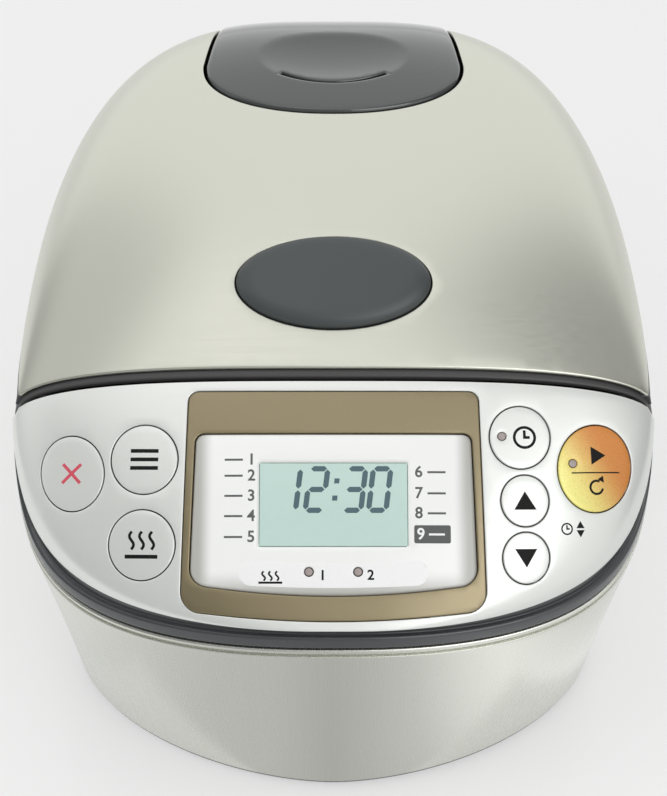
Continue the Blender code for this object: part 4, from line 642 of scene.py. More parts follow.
def makePressTree():  # lifts a flat plan onto the form, each point its own inset below the skin
    tree, given = newTree("pressToForm", form)
    place = addNode(tree, "GeometryNodeInputPosition")
    split = addNode(tree, "ShaderNodeSeparateXYZ", {0: place.outputs[0]})
    inset = addNode(tree, "GeometryNodeInputNamedAttribute", {"Name": "inset"}, data_type="FLOAT")
    values = {"x": split.outputs[0], "y": split.outputs[1], "inset": inset.outputs[0]}
    values.update({key: given.outputs[key] for key in form})
    for name, operation, *sources in pressSteps:
        inputs = {slot: values.get(source, source) for slot, source in enumerate(sources)}
        values[name] = addNode(tree, "ShaderNodeMath", inputs, operation=operation).outputs[0]
    joined = addNode(tree, "ShaderNodeCombineXYZ", {0: values["x"], 1: values["y"], 2: values["z"]})
    lift = {"Geometry": given.outputs["Geometry"], "Position": joined.outputs[0]}
    moved = addNode(tree, "GeometryNodeSetPosition", lift)
    return endTree(tree, given, moved.outputs[0])


pressTree = makePressTree()


def pressed(name, mat, plan, insets, faces, angle=hardAngle):
    blank = meshOf(name, [(x, y, 0.0) for x, y in plan], faces, outward=False)
    layer = blank.attributes.new("inset", "FLOAT", "POINT")
    layer.data.foreach_set("value", np.asarray(insets, np.float32))
    obj = grown(addObject(name, blank), pressTree, mat, form)
    if obj.data.attributes.get("inset"):
        obj.data.attributes.remove(obj.data.attributes["inset"])
    turnedOut(obj.data)
    smoothed(obj.data, angle)
    return obj


def pressedShell(name, mat, patch, spacing, wall, edge, base=0.0, sink=None, marks=None):
    # A sheet that follows the form: rolled edges of the given radius, then the wall and the underside.
    # The patch is edges, toPattern and toPlan: edges(grow, inset) gives the plan loops of the piece,
    # outer first, grown by grow; the other two go between plan and the flat pattern in which the sheet
    # is filled. base is the depth of the top below the skin, and sink(plan) a further depth.
    edges, toPattern, toPlan = patch
    thin = 0.1 * mm  # the last step to the underside, which keeps its edge narrow
    loops = [toPattern(loop) for loop in edges(-edge, base)]
    flat, faces = fillPattern(loops, spacing, marks)
    starts = np.cumsum([0] + [len(loop) for loop in loops])
    rims = starts[-1]

    def sunk(plan, inset):
        return np.full(len(plan), inset) + (sink(plan) if sink else 0.0)

    plan = toPlan(flat, base)
    plan[:rims] = np.concatenate(edges(-edge, base))
    allPlan, allInsets, allFaces = [plan], [sunk(plan, base)], list(faces)
    turns = np.linspace(0, math.pi / 2, 5)[1:]
    levels = [(edge * (math.sin(turn) - 1), edge * (1 - math.cos(turn))) for turn in turns]
    levels.append((0.0, wall - thin))
    size, bottom = len(flat), len(flat) + len(levels) * rims
    rings = [np.arange(starts[i], starts[i + 1]) for i in range(len(loops))]
    for grow, drop in levels:
        for index, spot in enumerate(edges(grow, base + drop)):
            length = len(spot)
            new = np.arange(size, size + length)
            ring, after = rings[index], np.roll(np.arange(length), -1)
            allFaces += np.stack([ring, ring[after], new[after], new], 1).tolist()
            allPlan.append(spot)
            allInsets.append(sunk(spot, base + drop))
            rings[index] = new
            size += length
    for index, ring in enumerate(rings):
        low = bottom + np.arange(starts[index], starts[index + 1])
        after = np.roll(np.arange(len(ring)), -1)
        allFaces += np.stack([ring, ring[after], low[after], low], 1).tolist()
    under = toPlan(flat, base + wall)
    under[:rims] = np.concatenate(edges(-thin, base + wall))
    allPlan.append(under)
    allInsets.append(sunk(under, base + wall))
    allFaces += [[bottom + corner for corner in reversed(face)] for face in faces]
    return pressed(name, mat, np.concatenate(allPlan), np.concatenate(allInsets), allFaces, 40)


def flatMaps(place):  # between plan and the flat pattern drawn in a frame
    turn, start = np.array(place.to_3x3()), np.array(place.translation)

    def toPattern(plan):
        lift = skinHeight(plan[:, 0], plan[:, 1])
        point = np.column_stack([plan, lift]) - start
        return point @ turn[:, :2]

    def toPlan(flat, inset):
        return ontoSkin(place, flat, inset)

    return toPattern, toPlan


def flatPatch(place, outlines):  # the patch of a piece whose outlines(grow) are drawn in a frame
    def edges(grow, inset):
        return [ontoSkin(place, loop, inset) for loop in outlines(grow)]

    return edges, *flatMaps(place)


def disc(radius, x=0.0):  # the outline of a round piece whose middle stands x aside
    def outlines(grow):
        return [oval(radius + grow, radius + grow, 32) + (x, 0)]

    return outlines


def levelCurve(start, pole, foot, spans=3.0 * mm):
    # The closed plan curve of a stretch of skin from start to its pole, foot above the rim,
    # and straight at the start.
    way = math.copysign(1.0, pole - start)

    def curve(grow, inset, share):
        level = max(foot - grow, 0.0)
        first, last = start - way * grow, pole - way * inset
        if level > 0:
            y = np.linspace(crownY if way > 0 else splitY, last, 20001)
            high = crownAt(y, inset) - rimHeight(y) > level
            last = y[np.nonzero(high)[0][-1]]
        y = first + (last - first) * share
        height = np.maximum(crownAt(y, inset) - rimHeight(y), 1e-9)
        edge = (1 - np.clip(level / height, 0, 1) ** archRoot) ** (1 / archPower)
        return np.stack([edge * widthAt(y, inset), y], 1)

    dense = 1 - (1 - np.linspace(0, 1, 6001)) ** 3
    run = curve(0.0, 0.0, dense)
    length = np.concatenate([[0], np.cumsum(np.hypot(*np.diff(run, axis=0).T))])
    steps = int(length[-1] / spans)
    shares = np.interp(np.linspace(0, length[-1], steps + 1), length, dense)

    def loop(grow, inset):
        right = curve(grow, inset, shares)
        right[-1, 0] = 0.0
        acrossX = np.linspace(-right[0, 0], right[0, 0], int(2 * halfWidth / spans) + 1)[1:-1]
        front = np.stack([acrossX, np.full(len(acrossX), right[0, 1])], 1)
        left = right[:-1][::-1] * (-1, 1)
        return np.concatenate([front, right, left])

    return loop


def stretchedMaps(depth):
    # Between plan and a pattern for a whole stretch of skin from the split line, drawn out towards
    # the rim where the skin is steep.
    ease = np.linspace(0, 1, 4001)
    ease = np.concatenate([ease[:3600], 1 - (1 - ease[3600:]) ** 2 / 0.1])
    drawn = 0.5 * ease + 0.5 * (1 - np.sqrt(np.maximum(1 - ease**2, 0)))
    power = rearPower if depth > 0 else frontPower

    def norm(x, y):
        return (np.abs(x) ** power + np.abs(y) ** power) ** (1 / power)

    def toPattern(plan):
        x, y = plan[:, 0] / halfWidth, (plan[:, 1] - splitY) / abs(depth)
        size = norm(x, y)
        factor = np.interp(size, ease, drawn) / np.maximum(size, 1e-9)
        return np.stack([x * factor * halfWidth, y * factor * abs(depth)], 1)

    def toPlan(flat, inset):
        x, y = flat[:, 0] / halfWidth, flat[:, 1] / abs(depth)
        size = norm(x, y)
        factor = np.interp(size, drawn, ease) / np.maximum(size, 1e-9)
        return np.stack([x * factor * (halfWidth - inset), splitY + y * factor * (abs(depth) - inset)], 1)

    return toPattern, toPlan


def squaredOval(at, powers, reaches, half, inset=0.0):
    # x and y of a plan outline round the split line; powers and reaches are to the front and to the rear
    front = np.sin(at) < 0
    power = np.where(front, *powers)
    reach = np.where(front, *reaches)
    x = bent(np.cos(at), 2 / power) * (half - inset)
    return x, bent(np.sin(at), 2 / power) * (reach - inset)


rimPowers, rimReaches = (ringPower, rearPower), (splitY - frontY, rearY - splitY)


def evenAngles(count=240):  # angles that space the rim's outline evenly
    fine = np.linspace(0, 2 * np.pi, 40001)
    x, y = squaredOval(fine, rimPowers, rimReaches, halfWidth)
    run = np.concatenate([[0], np.cumsum(np.hypot(np.diff(x), np.diff(y)))])
    return np.interp(np.linspace(0, run[-1], count + 1)[:-1], run, fine)


angles = evenAngles()


def rimLoop(inset, drop):  # follows the rim, inset from the plan outline and drop below it
    x, y = squaredOval(angles, rimPowers, rimReaches, halfWidth, inset)
    _, rimY = squaredOval(angles, rimPowers, rimReaches, halfWidth)
    return np.stack([x, splitY + y, rimHeight(splitY + rimY) - drop], 1)


baseForm = {"half": 112.5 * mm, "frontY": -159.2 * mm, "rearY": 128.0 * mm, "powers": (1.78, 2.6)}
wallFoot, wallTop = 4.9 * mm, 16.2 * mm  # the body's straight wall: foot, and drop of its top below the rim


def baseLoop(inset, z):
    reaches = (splitY - baseForm["frontY"], baseForm["rearY"] - splitY)
    x, y = squaredOval(angles, baseForm["powers"], reaches, baseForm["half"], inset)
    return np.stack([x, splitY + y, np.full(len(angles), z)], 1)


def wallLoop(share, inset):  # part of the way up the body's wall
    return (1 - share) * baseLoop(inset, wallFoot) + share * rimLoop(inset + 0.3 * mm, wallTop)


def sectionLoops(profile, ease, loop=rimLoop):  # loops through (inset, drop or z) pairs with eased corners
    away = 1.0  # keeps the profile clear of zero, where rounded would leave a corner hard
    eased = rounded([(inset + away, level) for inset, level in profile], ease, 4)
    return [loop(inset - away, level) for inset, level in eased]


def evenLoop(points, count):  # a closed outline with its points evenly spaced
    points = np.asarray(points, float)
    closed = np.concatenate([points, points[:1]])
    run = np.concatenate([[0], np.cumsum(np.hypot(*np.diff(closed, axis=0).T))])
    at = np.linspace(0, run[-1], count + 1)[:-1]
    return np.stack([np.interp(at, run, closed[:, 0]), np.interp(at, run, closed[:, 1])], 1)


# the body's shell: a steel wrap with a rolled hem, on a moulded base with air slots and four feet
bodyShell = {
    "wall": 1.0 * mm,
    "ease": 0.35 * mm,
    # inset and drop below the rim in mm: the groove over the hem, then the rolled hem
    "hem": [(0.3, 16.2), (0.2, 14.9), (1.8, 14.7), (1.8, 13.2), (0.0, 12.8), (0.0, 11.6), (0.7, 10.9)],
    "inside": [(2.6, 10.7), (2.6, 16.2)],
    "inlet": ((-17.3, 118.7, 15.7), (17.3, 131.3, 38.3)),  # opposite corners of its opening, in mm
}
loops = [wallLoop(share, 0.0) for share in np.linspace(0, 0.97, 24)]
loops += sectionLoops(millimetres(bodyShell["hem"]), bodyShell["ease"])[3:]
loops += [rimLoop(*pair) for pair in millimetres(bodyShell["inside"])]
loops += [wallLoop(share, bodyShell["wall"]) for share in (0.5, 0.0)]
shell = lofted("bodyShell", bodySteel, loops, wrap=True, angle=50)
fit(carved(shell, cutter("inletHole", *bodyShell["inlet"])), "cooker", "stainless", "outer_body")

# inset and height of the tray's section in mm, from the middle of its outside to the middle of its inside
baseTray = {
    "ease": 0.3 * mm,
    "section": [(4.0, 2.0), (0.8, 3.0), (0.8, 4.6), (1.7, 4.6), (1.7, 11.6), (4.1, 11.6), (4.1, 4.4)],
}
airSlots = {"Count": 7.0, "Pitch": 11 * mm, "Width": 4 * mm, "Length": 42 * mm, "Depth": 30 * mm}
airSlots["Place y"] = 41 * mm
profile = millimetres(baseTray["section"])
loops = [baseLoop(*profile[0])] + sectionLoops(profile, baseTray["ease"], baseLoop)[5:-5]
tray = lofted("baseTray", baseGrey, loops + [baseLoop(*profile[-1])])
tree, given = newTree("airSlots", airSlots)
gaps = addNode(tree, "ShaderNodeMath", {0: given.outputs["Count"], 1: -1.0}, operation="ADD")
run = {0: gaps.outputs[0], 1: given.outputs["Pitch"]}
length = addNode(tree, "ShaderNodeMath", run, operation="MULTIPLY")
firstX = addNode(tree, "ShaderNodeMath", {0: length.outputs[0], 1: -0.5}, operation="MULTIPLY")
start = addNode(tree, "ShaderNodeCombineXYZ", {0: firstX.outputs[0], 1: given.outputs["Place y"]})
pitch = addNode(tree, "ShaderNodeCombineXYZ", {0: given.outputs["Pitch"]})
line = {"Count": given.outputs["Count"], "Start Location": start.outputs[0], "Offset": pitch.outputs[0]}
row = addNode(tree, "GeometryNodeMeshLine", line)
sides = {slot: given.outputs[key] for slot, key in enumerate(("Width", "Length", "Depth"))}
size = addNode(tree, "ShaderNodeCombineXYZ", sides)
slotBar = addNode(tree, "GeometryNodeMeshCube", {"Size": size.outputs[0]})
spread = {"Points": row.outputs[0], "Instance": slotBar.outputs[0]}
bars = addNode(tree, "GeometryNodeInstanceOnPoints", spread)
solid = addNode(tree, "GeometryNodeRealizeInstances", {"Geometry": bars.outputs[0]})
cut = {0: given.outputs["Geometry"], 1: solid.outputs[0]}
opened = addNode(tree, "GeometryNodeMeshBoolean", cut, operation="DIFFERENCE", solver="EXACT")
tray = grown(tray, endTree(tree, given, opened.outputs[0]), baseGrey, airSlots)
tray.data.set_sharp_from_angle(angle=math.radians(hardAngle))
fit(tray, "cooker", "grey_abs", "base_cover")

feet = {
    "front_left": (-63, -112.2),
    "front_right": (63, -112.2),
    "rear_left": (-63, 92),
    "rear_right": (63, 92),
}
footSection = [(0, 1.7), (8, 1.7), (8, 0), (5, 0), (4.4, 0.5), (0, 0.5)]
for name, (x, y) in feet.items():
    foot = turned(f"foot_{name}Piece", rubber, millimetres(footSection), (x * mm, y * mm, 0), 0.4 * mm, 48)
    fit(foot, "cooker", "foot_rubber", f"foot_{name}")
print("stage: body shell, base and feet")

# the dark ring under lid and panel, with the deck round the pot
upperRing = {
    "ease": 0.5 * mm,
    # inset and drop below the rim in mm
    "outside": [(2.6, 0.4), (2.6, 3.8), (0.7, 4.0), (0.0, 4.7), (0.0, 9.3), (1.3, 9.9)],
    "inside": [(3.8, 9.9), (3.8, 0.4)],
}
deck = {"foot": 141.5, "top": 144.5, "inset": 2.2, "frontHalf": 119.5, "frontY": -91.2, "mouth": 89.5}
deckCut = (130 * mm, 160 * mm)  # what cuts the mouth reaches from under the deck to over it
latchPocket = ((-10, -84, 130), (10, -69.5, 160))  # the deck's opening for the latch, in mm
loops = sectionLoops(millimetres(upperRing["outside"] + upperRing["inside"]), upperRing["ease"])
ring = lofted("upperRing", ringGrey, loops, wrap=True)
fit(ring, "cooker", "dark_grey_abs", "upper_frame")
outline = [tuple(p[:2]) for p in rimLoop(deck["inset"] * mm, 0) if p[1] > splitY]
half, front = deck["frontHalf"] * mm, deck["frontY"] * mm
outline += [(-half, splitY - mm), (-half, front), (half, front), (half, splitY - mm)]
plate = extruded("deck", ringGrey, outline, deck["foot"] * mm, deck["top"] * mm)
potLine = Matrix.Translation(potAxis)
mouth = bar("mouth", deck["mouth"] * mm, *deckCut, potLine, steps=144)
plate = carved(plate, mouth, cutter("pocket", *latchPocket))
fit(eased(plate, 0.5 * mm), "cooker", "dark_grey_abs")


def skinRow(y, inset, foot, steps=120):  # x and z across the skin at y, down to the height foot above the rim
    height = float(crownAt(y, inset) - rimHeight(y))
    edge = (1 - min(foot / height, 1.0) ** archRoot) ** (1 / archPower)
    sweep = math.asin(min(edge ** (archPower / 2), 1.0))
    x = bent(np.sin(sweep * np.linspace(-1, 1, steps + 1)), 2 / archPower) * widthAt(y, inset)
    return [(float(a), float(skinHeight(a, y, inset))) for a in x]


def frontFrame(y):  # drawn as seen from the front
    return Matrix.Translation((0, y, 0)) @ Matrix(((1, 0, 0), (0, 0, -1), (0, 1, 0))).to_4x4()


def sideFrame():  # drawn as seen from the right, y across and z up
    return Matrix(((0, 0, 1), (1, 0, 0), (0, 1, 0))).to_4x4()


def skinWall(name, y, inset, foot, bottom, wall, share=1.0):  # an upright wall under the skin, sizes in mm
    points = [(share * x, z) for x, z in skinRow(y * mm, inset * mm, foot * mm)]
    points += [(points[-1][0], bottom * mm), (points[0][0], bottom * mm)]
    return extruded(name, nylon, points, -wall * mm, 0, frontFrame(y * mm))


# the wall in front of the deck, a little narrower than the skin over it
frontWall = {"y": -91.7, "inset": 3.3, "foot": 2, "bottom": deck["foot"], "wall": 2, "share": 0.985}
fit(skinWall("frontWall", **frontWall), "cooker", "dark_grey_abs")

# the hinge: two ears on the deck's rear, and the shaft between them
hinge = {"y": 150.5 * mm, "z": 147.5 * mm, "earRadius": 6 * mm, "bore": 2.65 * mm, "boreHalf": 60 * mm}
hingeShaft = {"radius": 2.5 * mm, "half": 62.5 * mm}
ear = {"frontY": 129 * mm, "bottom": 138.5 * mm, "top": 147.7 * mm, "inside": 51 * mm, "outside": 61 * mm}
acrossTurn = Matrix.Rotation(math.pi / 2, 4, "Y")
hingeLine = Matrix.Translation((0, hinge["y"], hinge["z"])) @ acrossTurn
for side, name in ((-1, "earLeft"), (1, "earRight")):
    points = [(ear["frontY"], ear["bottom"]), (hinge["y"] + hinge["earRadius"], ear["bottom"])]
    points += arc((hinge["y"], hinge["z"]), hinge["earRadius"], 0, 180, 40)
    points += [(hinge["y"] - hinge["earRadius"], ear["top"]), (ear["frontY"], ear["top"])]
    low, high = sorted((side * ear["inside"], side * ear["outside"]))
    piece = extruded(name, ringGrey, points, low, high, sideFrame())
    piece = carved(piece, bar("hole", hinge["bore"], low - mm, high + mm, hingeLine))
    fit(eased(piece, 0.4 * mm), "cooker", "dark_grey_abs")
half = hingeShaft["half"]
shaft = bar("shaft", hingeShaft["radius"], -half, half, hingeLine, springSteel)
fit(eased(shaft, 0.4 * mm), "cooker", "spring_steel", "hinge_shaft")

# the housing behind the hinge, a rounded box that stands out of the body's rear
hingeHousing = {
    "half": 68 * mm,
    "back": 125.5 * mm,
    "roomBack": 119.5 * mm,
    "wall": 2.5 * mm,
    "ease": 7 * mm,
    # height in mm, share of the half width, reach past the body's rear in mm: outside, then the room in it
    "outside": [(62, 0.86, 2), (92, 0.95, 19.2), (121, 1.0, 29.5), (144, 1.0, 31), (149, 0.97, 27.5)],
    "room": [(70, 0.87, 4), (92, 0.95, 19.2), (121, 1.0, 29.5), (146.5, 1.0, 31)],
    "slot": ((-63.2, 109.5, 137.5), (63.2, 157.3, 159)),  # open to the lid's neck, corners in mm
    "powers": (0.55, 0.45),  # they round the plan's corners, across and to the rear
}


def bulgeLoop(half, reach, z, back, steps=150):
    turn = np.pi * np.arange(steps + 1) / steps
    across, rearwards = hingeHousing["powers"]
    x = half * bent(np.cos(turn), across)
    y = back + (rearY + reach - back) * np.maximum(np.sin(turn), 0) ** rearwards
    return np.stack([x, y, np.full(len(turn), z)], 1)


heights, shares = [[level[at] for level in hingeHousing["outside"]] for at in (0, 1)]
outline = [(reach * mm, z * mm) for z, _, reach in hingeHousing["outside"]]
loops = []
for reach, z in rounded(outline, hingeHousing["ease"], 8, closed=False):
    half = hingeHousing["half"] * np.interp(z / mm, heights, shares)
    loops.append(bulgeLoop(half, reach, z, hingeHousing["back"]))
housing = lofted("hingeHousing", ringGrey, loops)
room, wall = [], hingeHousing["wall"]
for z, share, reach in hingeHousing["room"]:
    half = hingeHousing["half"] * share - wall
    room.append(bulgeLoop(half, reach * mm - wall, z * mm, hingeHousing["roomBack"]))
# what the cooker's own body takes out of the housing, with 0.3 mm between them
around = -0.3 * mm
bodyRoom = [baseLoop(around, 0.0), wallLoop(1.0, around), rimLoop(around, 6 * mm)]
bodyRoom.append(rimLoop(around, 0) * (1, 1, 0) + (0, 0, 152.5 * mm))
tools = [lofted("room", None, room), lofted("bodyRoom", None, bodyRoom)]
tools.append(cutter("slot", *hingeHousing["slot"]))
fit(carved(housing, *tools), "cooker", "dark_grey_abs", "hinge_cover")
print("stage: ring, deck and hinge housing")

# coiled springs
tree, given = newTree("coil", {"Turns": 4.0, "Radius": 4 * mm, "Wire": 0.6 * mm, "Length": 10 * mm})
winding = {
    "Resolution": 40,
    "Rotations": given.outputs["Turns"],
    "Start Radius": given.outputs["Radius"],
    "End Radius": given.outputs["Radius"],
    "Height": given.outputs["Length"],
}
spiral = addNode(tree, "GeometryNodeCurveSpiral", winding)
wireSize = {"Resolution": 14, "Radius": given.outputs["Wire"]}
wire = addNode(tree, "GeometryNodeCurvePrimitiveCircle", wireSize)
draw = {"Curve": spiral.outputs[0], "Profile Curve": wire.outputs[0], "Fill Caps": True}
wound = addNode(tree, "GeometryNodeCurveToMesh", draw)
coilTree = endTree(tree, given, wound.outputs[0])
springs = {
    # node: body, coil radius, wire radius, first and last place along the frame, frame
    "hinge_spring_left": ("cooker", 3.7, 0.7, -50, -37, hingeLine),
    "hinge_spring_right": ("cooker", 3.7, 0.7, 37, 50, hingeLine),
    "sensor_spring": ("cooker", 9.0, 0.6, 5.3, 21.1, potLine),
    "latch_spring": ("lid", 2.6, 0.6, 152.9, 161.2, Matrix.Translation((0, -54 * mm, 0))),
}
pressedSprings = {  # node: joint, and the share of the length that is left when it is pressed
    "sensor_spring": ("sensor_press", 0.8),
    "latch_spring": ("latch_turn", 0.7),
}
for node, (body, radius, wireRadius, low, high, place) in springs.items():
    sizes = {"Turns": 4.0, "Radius": radius * mm, "Wire": wireRadius * mm, "Length": (high - low) * mm}
    spring = grown(addObject(f"{node}Coil", bpy.data.meshes.new(node)), coilTree, springSteel, sizes)
    foot = Vector((0, 0, low * mm))
    spring.data.transform(place @ Matrix.Translation(foot))
    spring.data.shade_smooth()
    fit(spring, body, "spring_steel", node)
    if node in pressedSprings:
        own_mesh(spring)

# the pot with its flange, in mm
innerPot = {"radius": 86, "wall": 1.5, "corner": 22, "floor": 39.8, "top": 146.6}
potFlange = {"width": 7.5, "wall": 1.8}
radius, wall, corner, floor, top = innerPot.values()
outer, outerCorner, bottom = radius + wall, corner + wall, floor - wall
lip, flangeFoot = outer + potFlange["width"], top - potFlange["wall"]
profile = [(0, floor)] + arc((radius - corner, floor + corner), corner, 270, 360, 16)
profile += [(radius, top - 2.5), (radius + 0.6, top - 0.9), (radius + 2.0, top), (lip - 0.5, top)]
profile += [(lip, top - 0.5), (lip, flangeFoot), (lip - 1.0, flangeFoot), (outer, flangeFoot)]
profile += arc((outer - outerCorner, bottom + outerCorner), outerCorner, 360, 270, 16) + [(0, bottom)]
pot = turned("innerPot", potCoating, millimetres(profile), potAxis, 0.3 * mm, 192)
fit(pot, "cooker", "pot_coating", "inner_pot")

# what is turned round the pot's axis: the liner, the heaters, the sensor and the inner lid's gasket
caseProfile = [(90.5, 141.2), (95.5, 141.2), (95.5, 140.2), (91.5, 140.2)]
caseProfile += [(91.5, 24.7), (65.5, 24.7), (65.5, 25.7), (90.5, 25.7)]
gasketProfile = [(83, 149.5), (94, 149.5), (94, 146.9), (85, 146.9), (83, 147.1), (83, 147.5)]
gasketProfile += [(91, 147.5), (91, 149), (83, 149)]
bandProfile = [(91.8, 100), (93.8, 100), (93.8, 78), (91.8, 78)]
heaterProfile = [(18.2, 38), (71, 38), (74, 35), (74, 26), (18.2, 26)]
sensorProfile = [(0, 38), (15, 38), (17, 36.5), (17, 31), (12, 31), (12, 22), (0, 22)]
potPieces = {
    # node: body, slot, material, profile of radius and height in mm
    "inner_case": ("cooker", "aluminium", aluminium, caseProfile),
    "side_heater": ("cooker", "heater_band", heaterSteel, bandProfile),
    "heater_plate": ("cooker", "cast_aluminium", castAluminium, heaterProfile),
    "center_sensor": ("sensor", "aluminium", aluminium, sensorProfile),
    "inner_lid_gasket": ("lid", "silicone", silicone, gasketProfile),
}
for node, (body, slotName, mat, points) in potPieces.items():
    piece = turned(f"{node}Piece", mat, millimetres(points), potAxis, 0.6 * mm, 160)
    fit(piece, body, slotName, node)

# the plates under the lid, with the steam's hole in one and its row of small holes in the other
heatPlate = {"profile": [(0, 153.8), (77, 153.8), (77, 152.3), (0, 152.3)], "steamHole": 10}
heatPlateCut, innerLidCut = (150 * mm, 156 * mm), (145 * mm, 155 * mm)  # heights that clear each plate
innerLid = {
    "top": [(0, 151.3), (66, 151.3), (71, 148.7), (90.7, 148.7)],
    "bottom": [(90.7, 147.8), (70, 147.8), (65, 150.4), (0, 150.4)],
    "holes": 5,
    "holePitch": 9,
    "holeRadius": 2.2,
}
plate = turned("heatPlate", aluminium, millimetres(heatPlate["profile"]), potAxis, 0.4 * mm)
steamHole = bar("steamHole", heatPlate["steamHole"] * mm, *heatPlateCut, Matrix.Translation(ventAxis))
fit(carved(plate, steamHole), "lid", "aluminium", "lid_heat_plate")
profile = millimetres(innerLid["top"] + innerLid["bottom"])
plate = turned("innerLid", aluminium, profile, potAxis, 1.2 * mm, 160)
holes = []
for index in range(innerLid["holes"]):
    aside = (index - (innerLid["holes"] - 1) / 2) * innerLid["holePitch"] * mm
    place = Matrix.Translation((aside, ventAxis[1], 0))
    holes.append(bar("hole", innerLid["holeRadius"] * mm, *innerLidCut, place, steps=32))
fit(carved(plate, *holes), "lid", "aluminium", "inner_lid")
print("stage: springs, pot, heaters and inner lid")

# the lid: a brushed steel cover with openings for the button and the vent
lidCover = {"spacing": 2.3 * mm, "wall": 1.2 * mm, "edge": 0.5 * mm}
lidFoot = 5.8 * mm  # the cover's edge above the rim
lidButton = {"halfX": 39 * mm, "halfV": 20.2 * mm, "y": -50 * mm, "clearance": 0.5 * mm}
# the vent's opening in mm, with the depth and the power of its bowed front
steamVent = {"half": 55.8, "frontY": 30, "bow": 34, "rearY": 128, "rearHalf": 49, "corner": 6.4}
bowPower = 0.86
ventGap = 1.2
buttonFrame = skinFrame(0.0, lidButton["y"])


def ventOutline(inset, count=260):
    half, shoulder = steamVent["half"] - inset, steamVent["frontY"] + steamVent["bow"]
    turn = math.pi + math.pi * np.arange(61) / 60
    x = half * bent(np.cos(turn), bowPower)
    y = shoulder - (steamVent["bow"] - inset) * np.abs(np.sin(turn)) ** bowPower
    rear, rearHalf = steamVent["rearY"] - inset, steamVent["rearHalf"] - inset
    corners = [(half, shoulder), (rearHalf, rear), (-rearHalf, rear), (-half, shoulder)]
    back = rounded(corners, steamVent["corner"], 8, closed=False)
    return evenLoop(np.concatenate([np.stack([x, y], 1), back[1:-1]]), count) * mm


lidEdge = levelCurve(splitY, rearY, lidFoot)


def lidEdges(grow, inset):
    gap = lidButton["clearance"] - grow
    hole = ontoSkin(buttonFrame, oval(lidButton["halfX"] + gap, lidButton["halfV"] + gap, 120), inset)
    return [lidEdge(grow, inset), ventOutline(grow / mm), hole]


patch = (lidEdges, *stretchedMaps(rearY - splitY))
fit(pressedShell("lidCover", lidSteel, patch, **lidCover), "lid", "stainless", "lid_cover")
print("stage: lid cover pressed")


def sweptSection(name, mat, section, foot, steps=150):  # a bar of (y, inset) points that follows the arch
    plan, insets, faces = [], [], []
    count = len(section)
    for share in np.linspace(-1, 1, steps + 1):
        for y, inset in section:
            height = float(crownAt(y, inset) - rimHeight(y))
            edge = (1 - (foot / height) ** archRoot) ** (1 / archPower)
            angle = math.asin(edge ** (archPower / 2)) * share
            plan.append((bent(math.sin(angle), 2 / archPower) * widthAt(y, inset), y))
            insets.append(inset)
    for column in range(steps):
        for corner in range(count):
            after = (corner + 1) % count
            low, high = column * count, (column + 1) * count
            faces.append([low + corner, low + after, high + after, high + corner])
    faces += [list(range(count)), list(range(steps * count, (steps + 1) * count))]
    return pressed(name, mat, plan, insets, faces)


# the dark lip under the cover's front edge, and the wall behind it
lidLip = {"frontY": -84.7, "rearY": -76.7, "top": 2.3, "bottom": 4.5, "foot": 0.3, "ease": 0.8}  # in mm
front, rear, top, bottom, foot, ease = [value * mm for value in lidLip.values()]
section = rounded([(front, top), (rear, top), (rear, bottom), (front, bottom)], ease, 4)
fit(sweptSection("lidLip", lipGrey, section, foot), "lid", "dark_grey_abs")
lidFront = {"y": -80.1, "inset": 3.5, "foot": 5.8, "bottom": 150.3, "wall": 1.8}
fit(skinWall("lidFront", **lidFront), "lid", "dark_grey_abs")

# the lid's inner tray, and its neck round the hinge
lidTray = {
    # inset, height, and how far over the rim its outline follows the cover, in mm
    "outside": [(7, 149.8, 0), (3.4, 148.5, 0), (1.2, 148.5, 0), (0.8, 148.8, 0), (0.1, 153.6, 5.1)],
    "inside": [(0.4, 154, 5.5), (3, 154, 5.5), (4, 152, 0)],
    "opening": 72 * mm,
    "openingCut": (140 * mm, 158 * mm),
    "slot": ((-9.5, -77.7, 140), (9.5, -67.9, 153.5)),  # for the latch's hook, corners in mm
}
lidNeck = {"half": 36 * mm, "top": [(144.5, 154), (137.5, 154), (137.5, 149.1), (143.5, 149.1)]}


def lidLoop(inset, z, follow, count=220):
    turn = math.pi * np.arange(count + 1) / count
    x = bent(np.cos(turn), 2 / rearPower) * (halfWidth - inset)
    reach = np.maximum(np.sin(turn), 0) ** (2 / rearPower)
    y = splitY + inset + reach * (rearY - splitY - 2 * inset)
    share = np.clip(follow / np.maximum(crownAt(y) - rimZ, 1e-6), 0, 1)
    return np.stack([x * (1 - share**archRoot) ** (1 / archPower), y, np.full(len(x), z)], 1)


loops = []
for inset, z, follow in lidTray["outside"] + lidTray["inside"]:
    loops.append(lidLoop(inset * mm, z * mm, follow * mm))
tray = lofted("lidTray", ringGrey, loops)
opening = bar("opening", lidTray["opening"], *lidTray["openingCut"], potLine, steps=144)
tray = carved(tray, opening, cutter("latchSlot", *lidTray["slot"]))
fit(tray, "lid", "dark_grey_abs", "lid_frame")
points = arc((hinge["y"], hinge["z"]), hinge["earRadius"], -120, 120, 48) + millimetres(lidNeck["top"])
neck = extruded("lidNeck", ringGrey, points, -lidNeck["half"], lidNeck["half"], sideFrame())
neck = carved(neck, bar("bore", hinge["bore"], -hinge["boreHalf"], hinge["boreHalf"], hingeLine))
fit(eased(neck, 0.4 * mm), "lid", "dark_grey_abs")

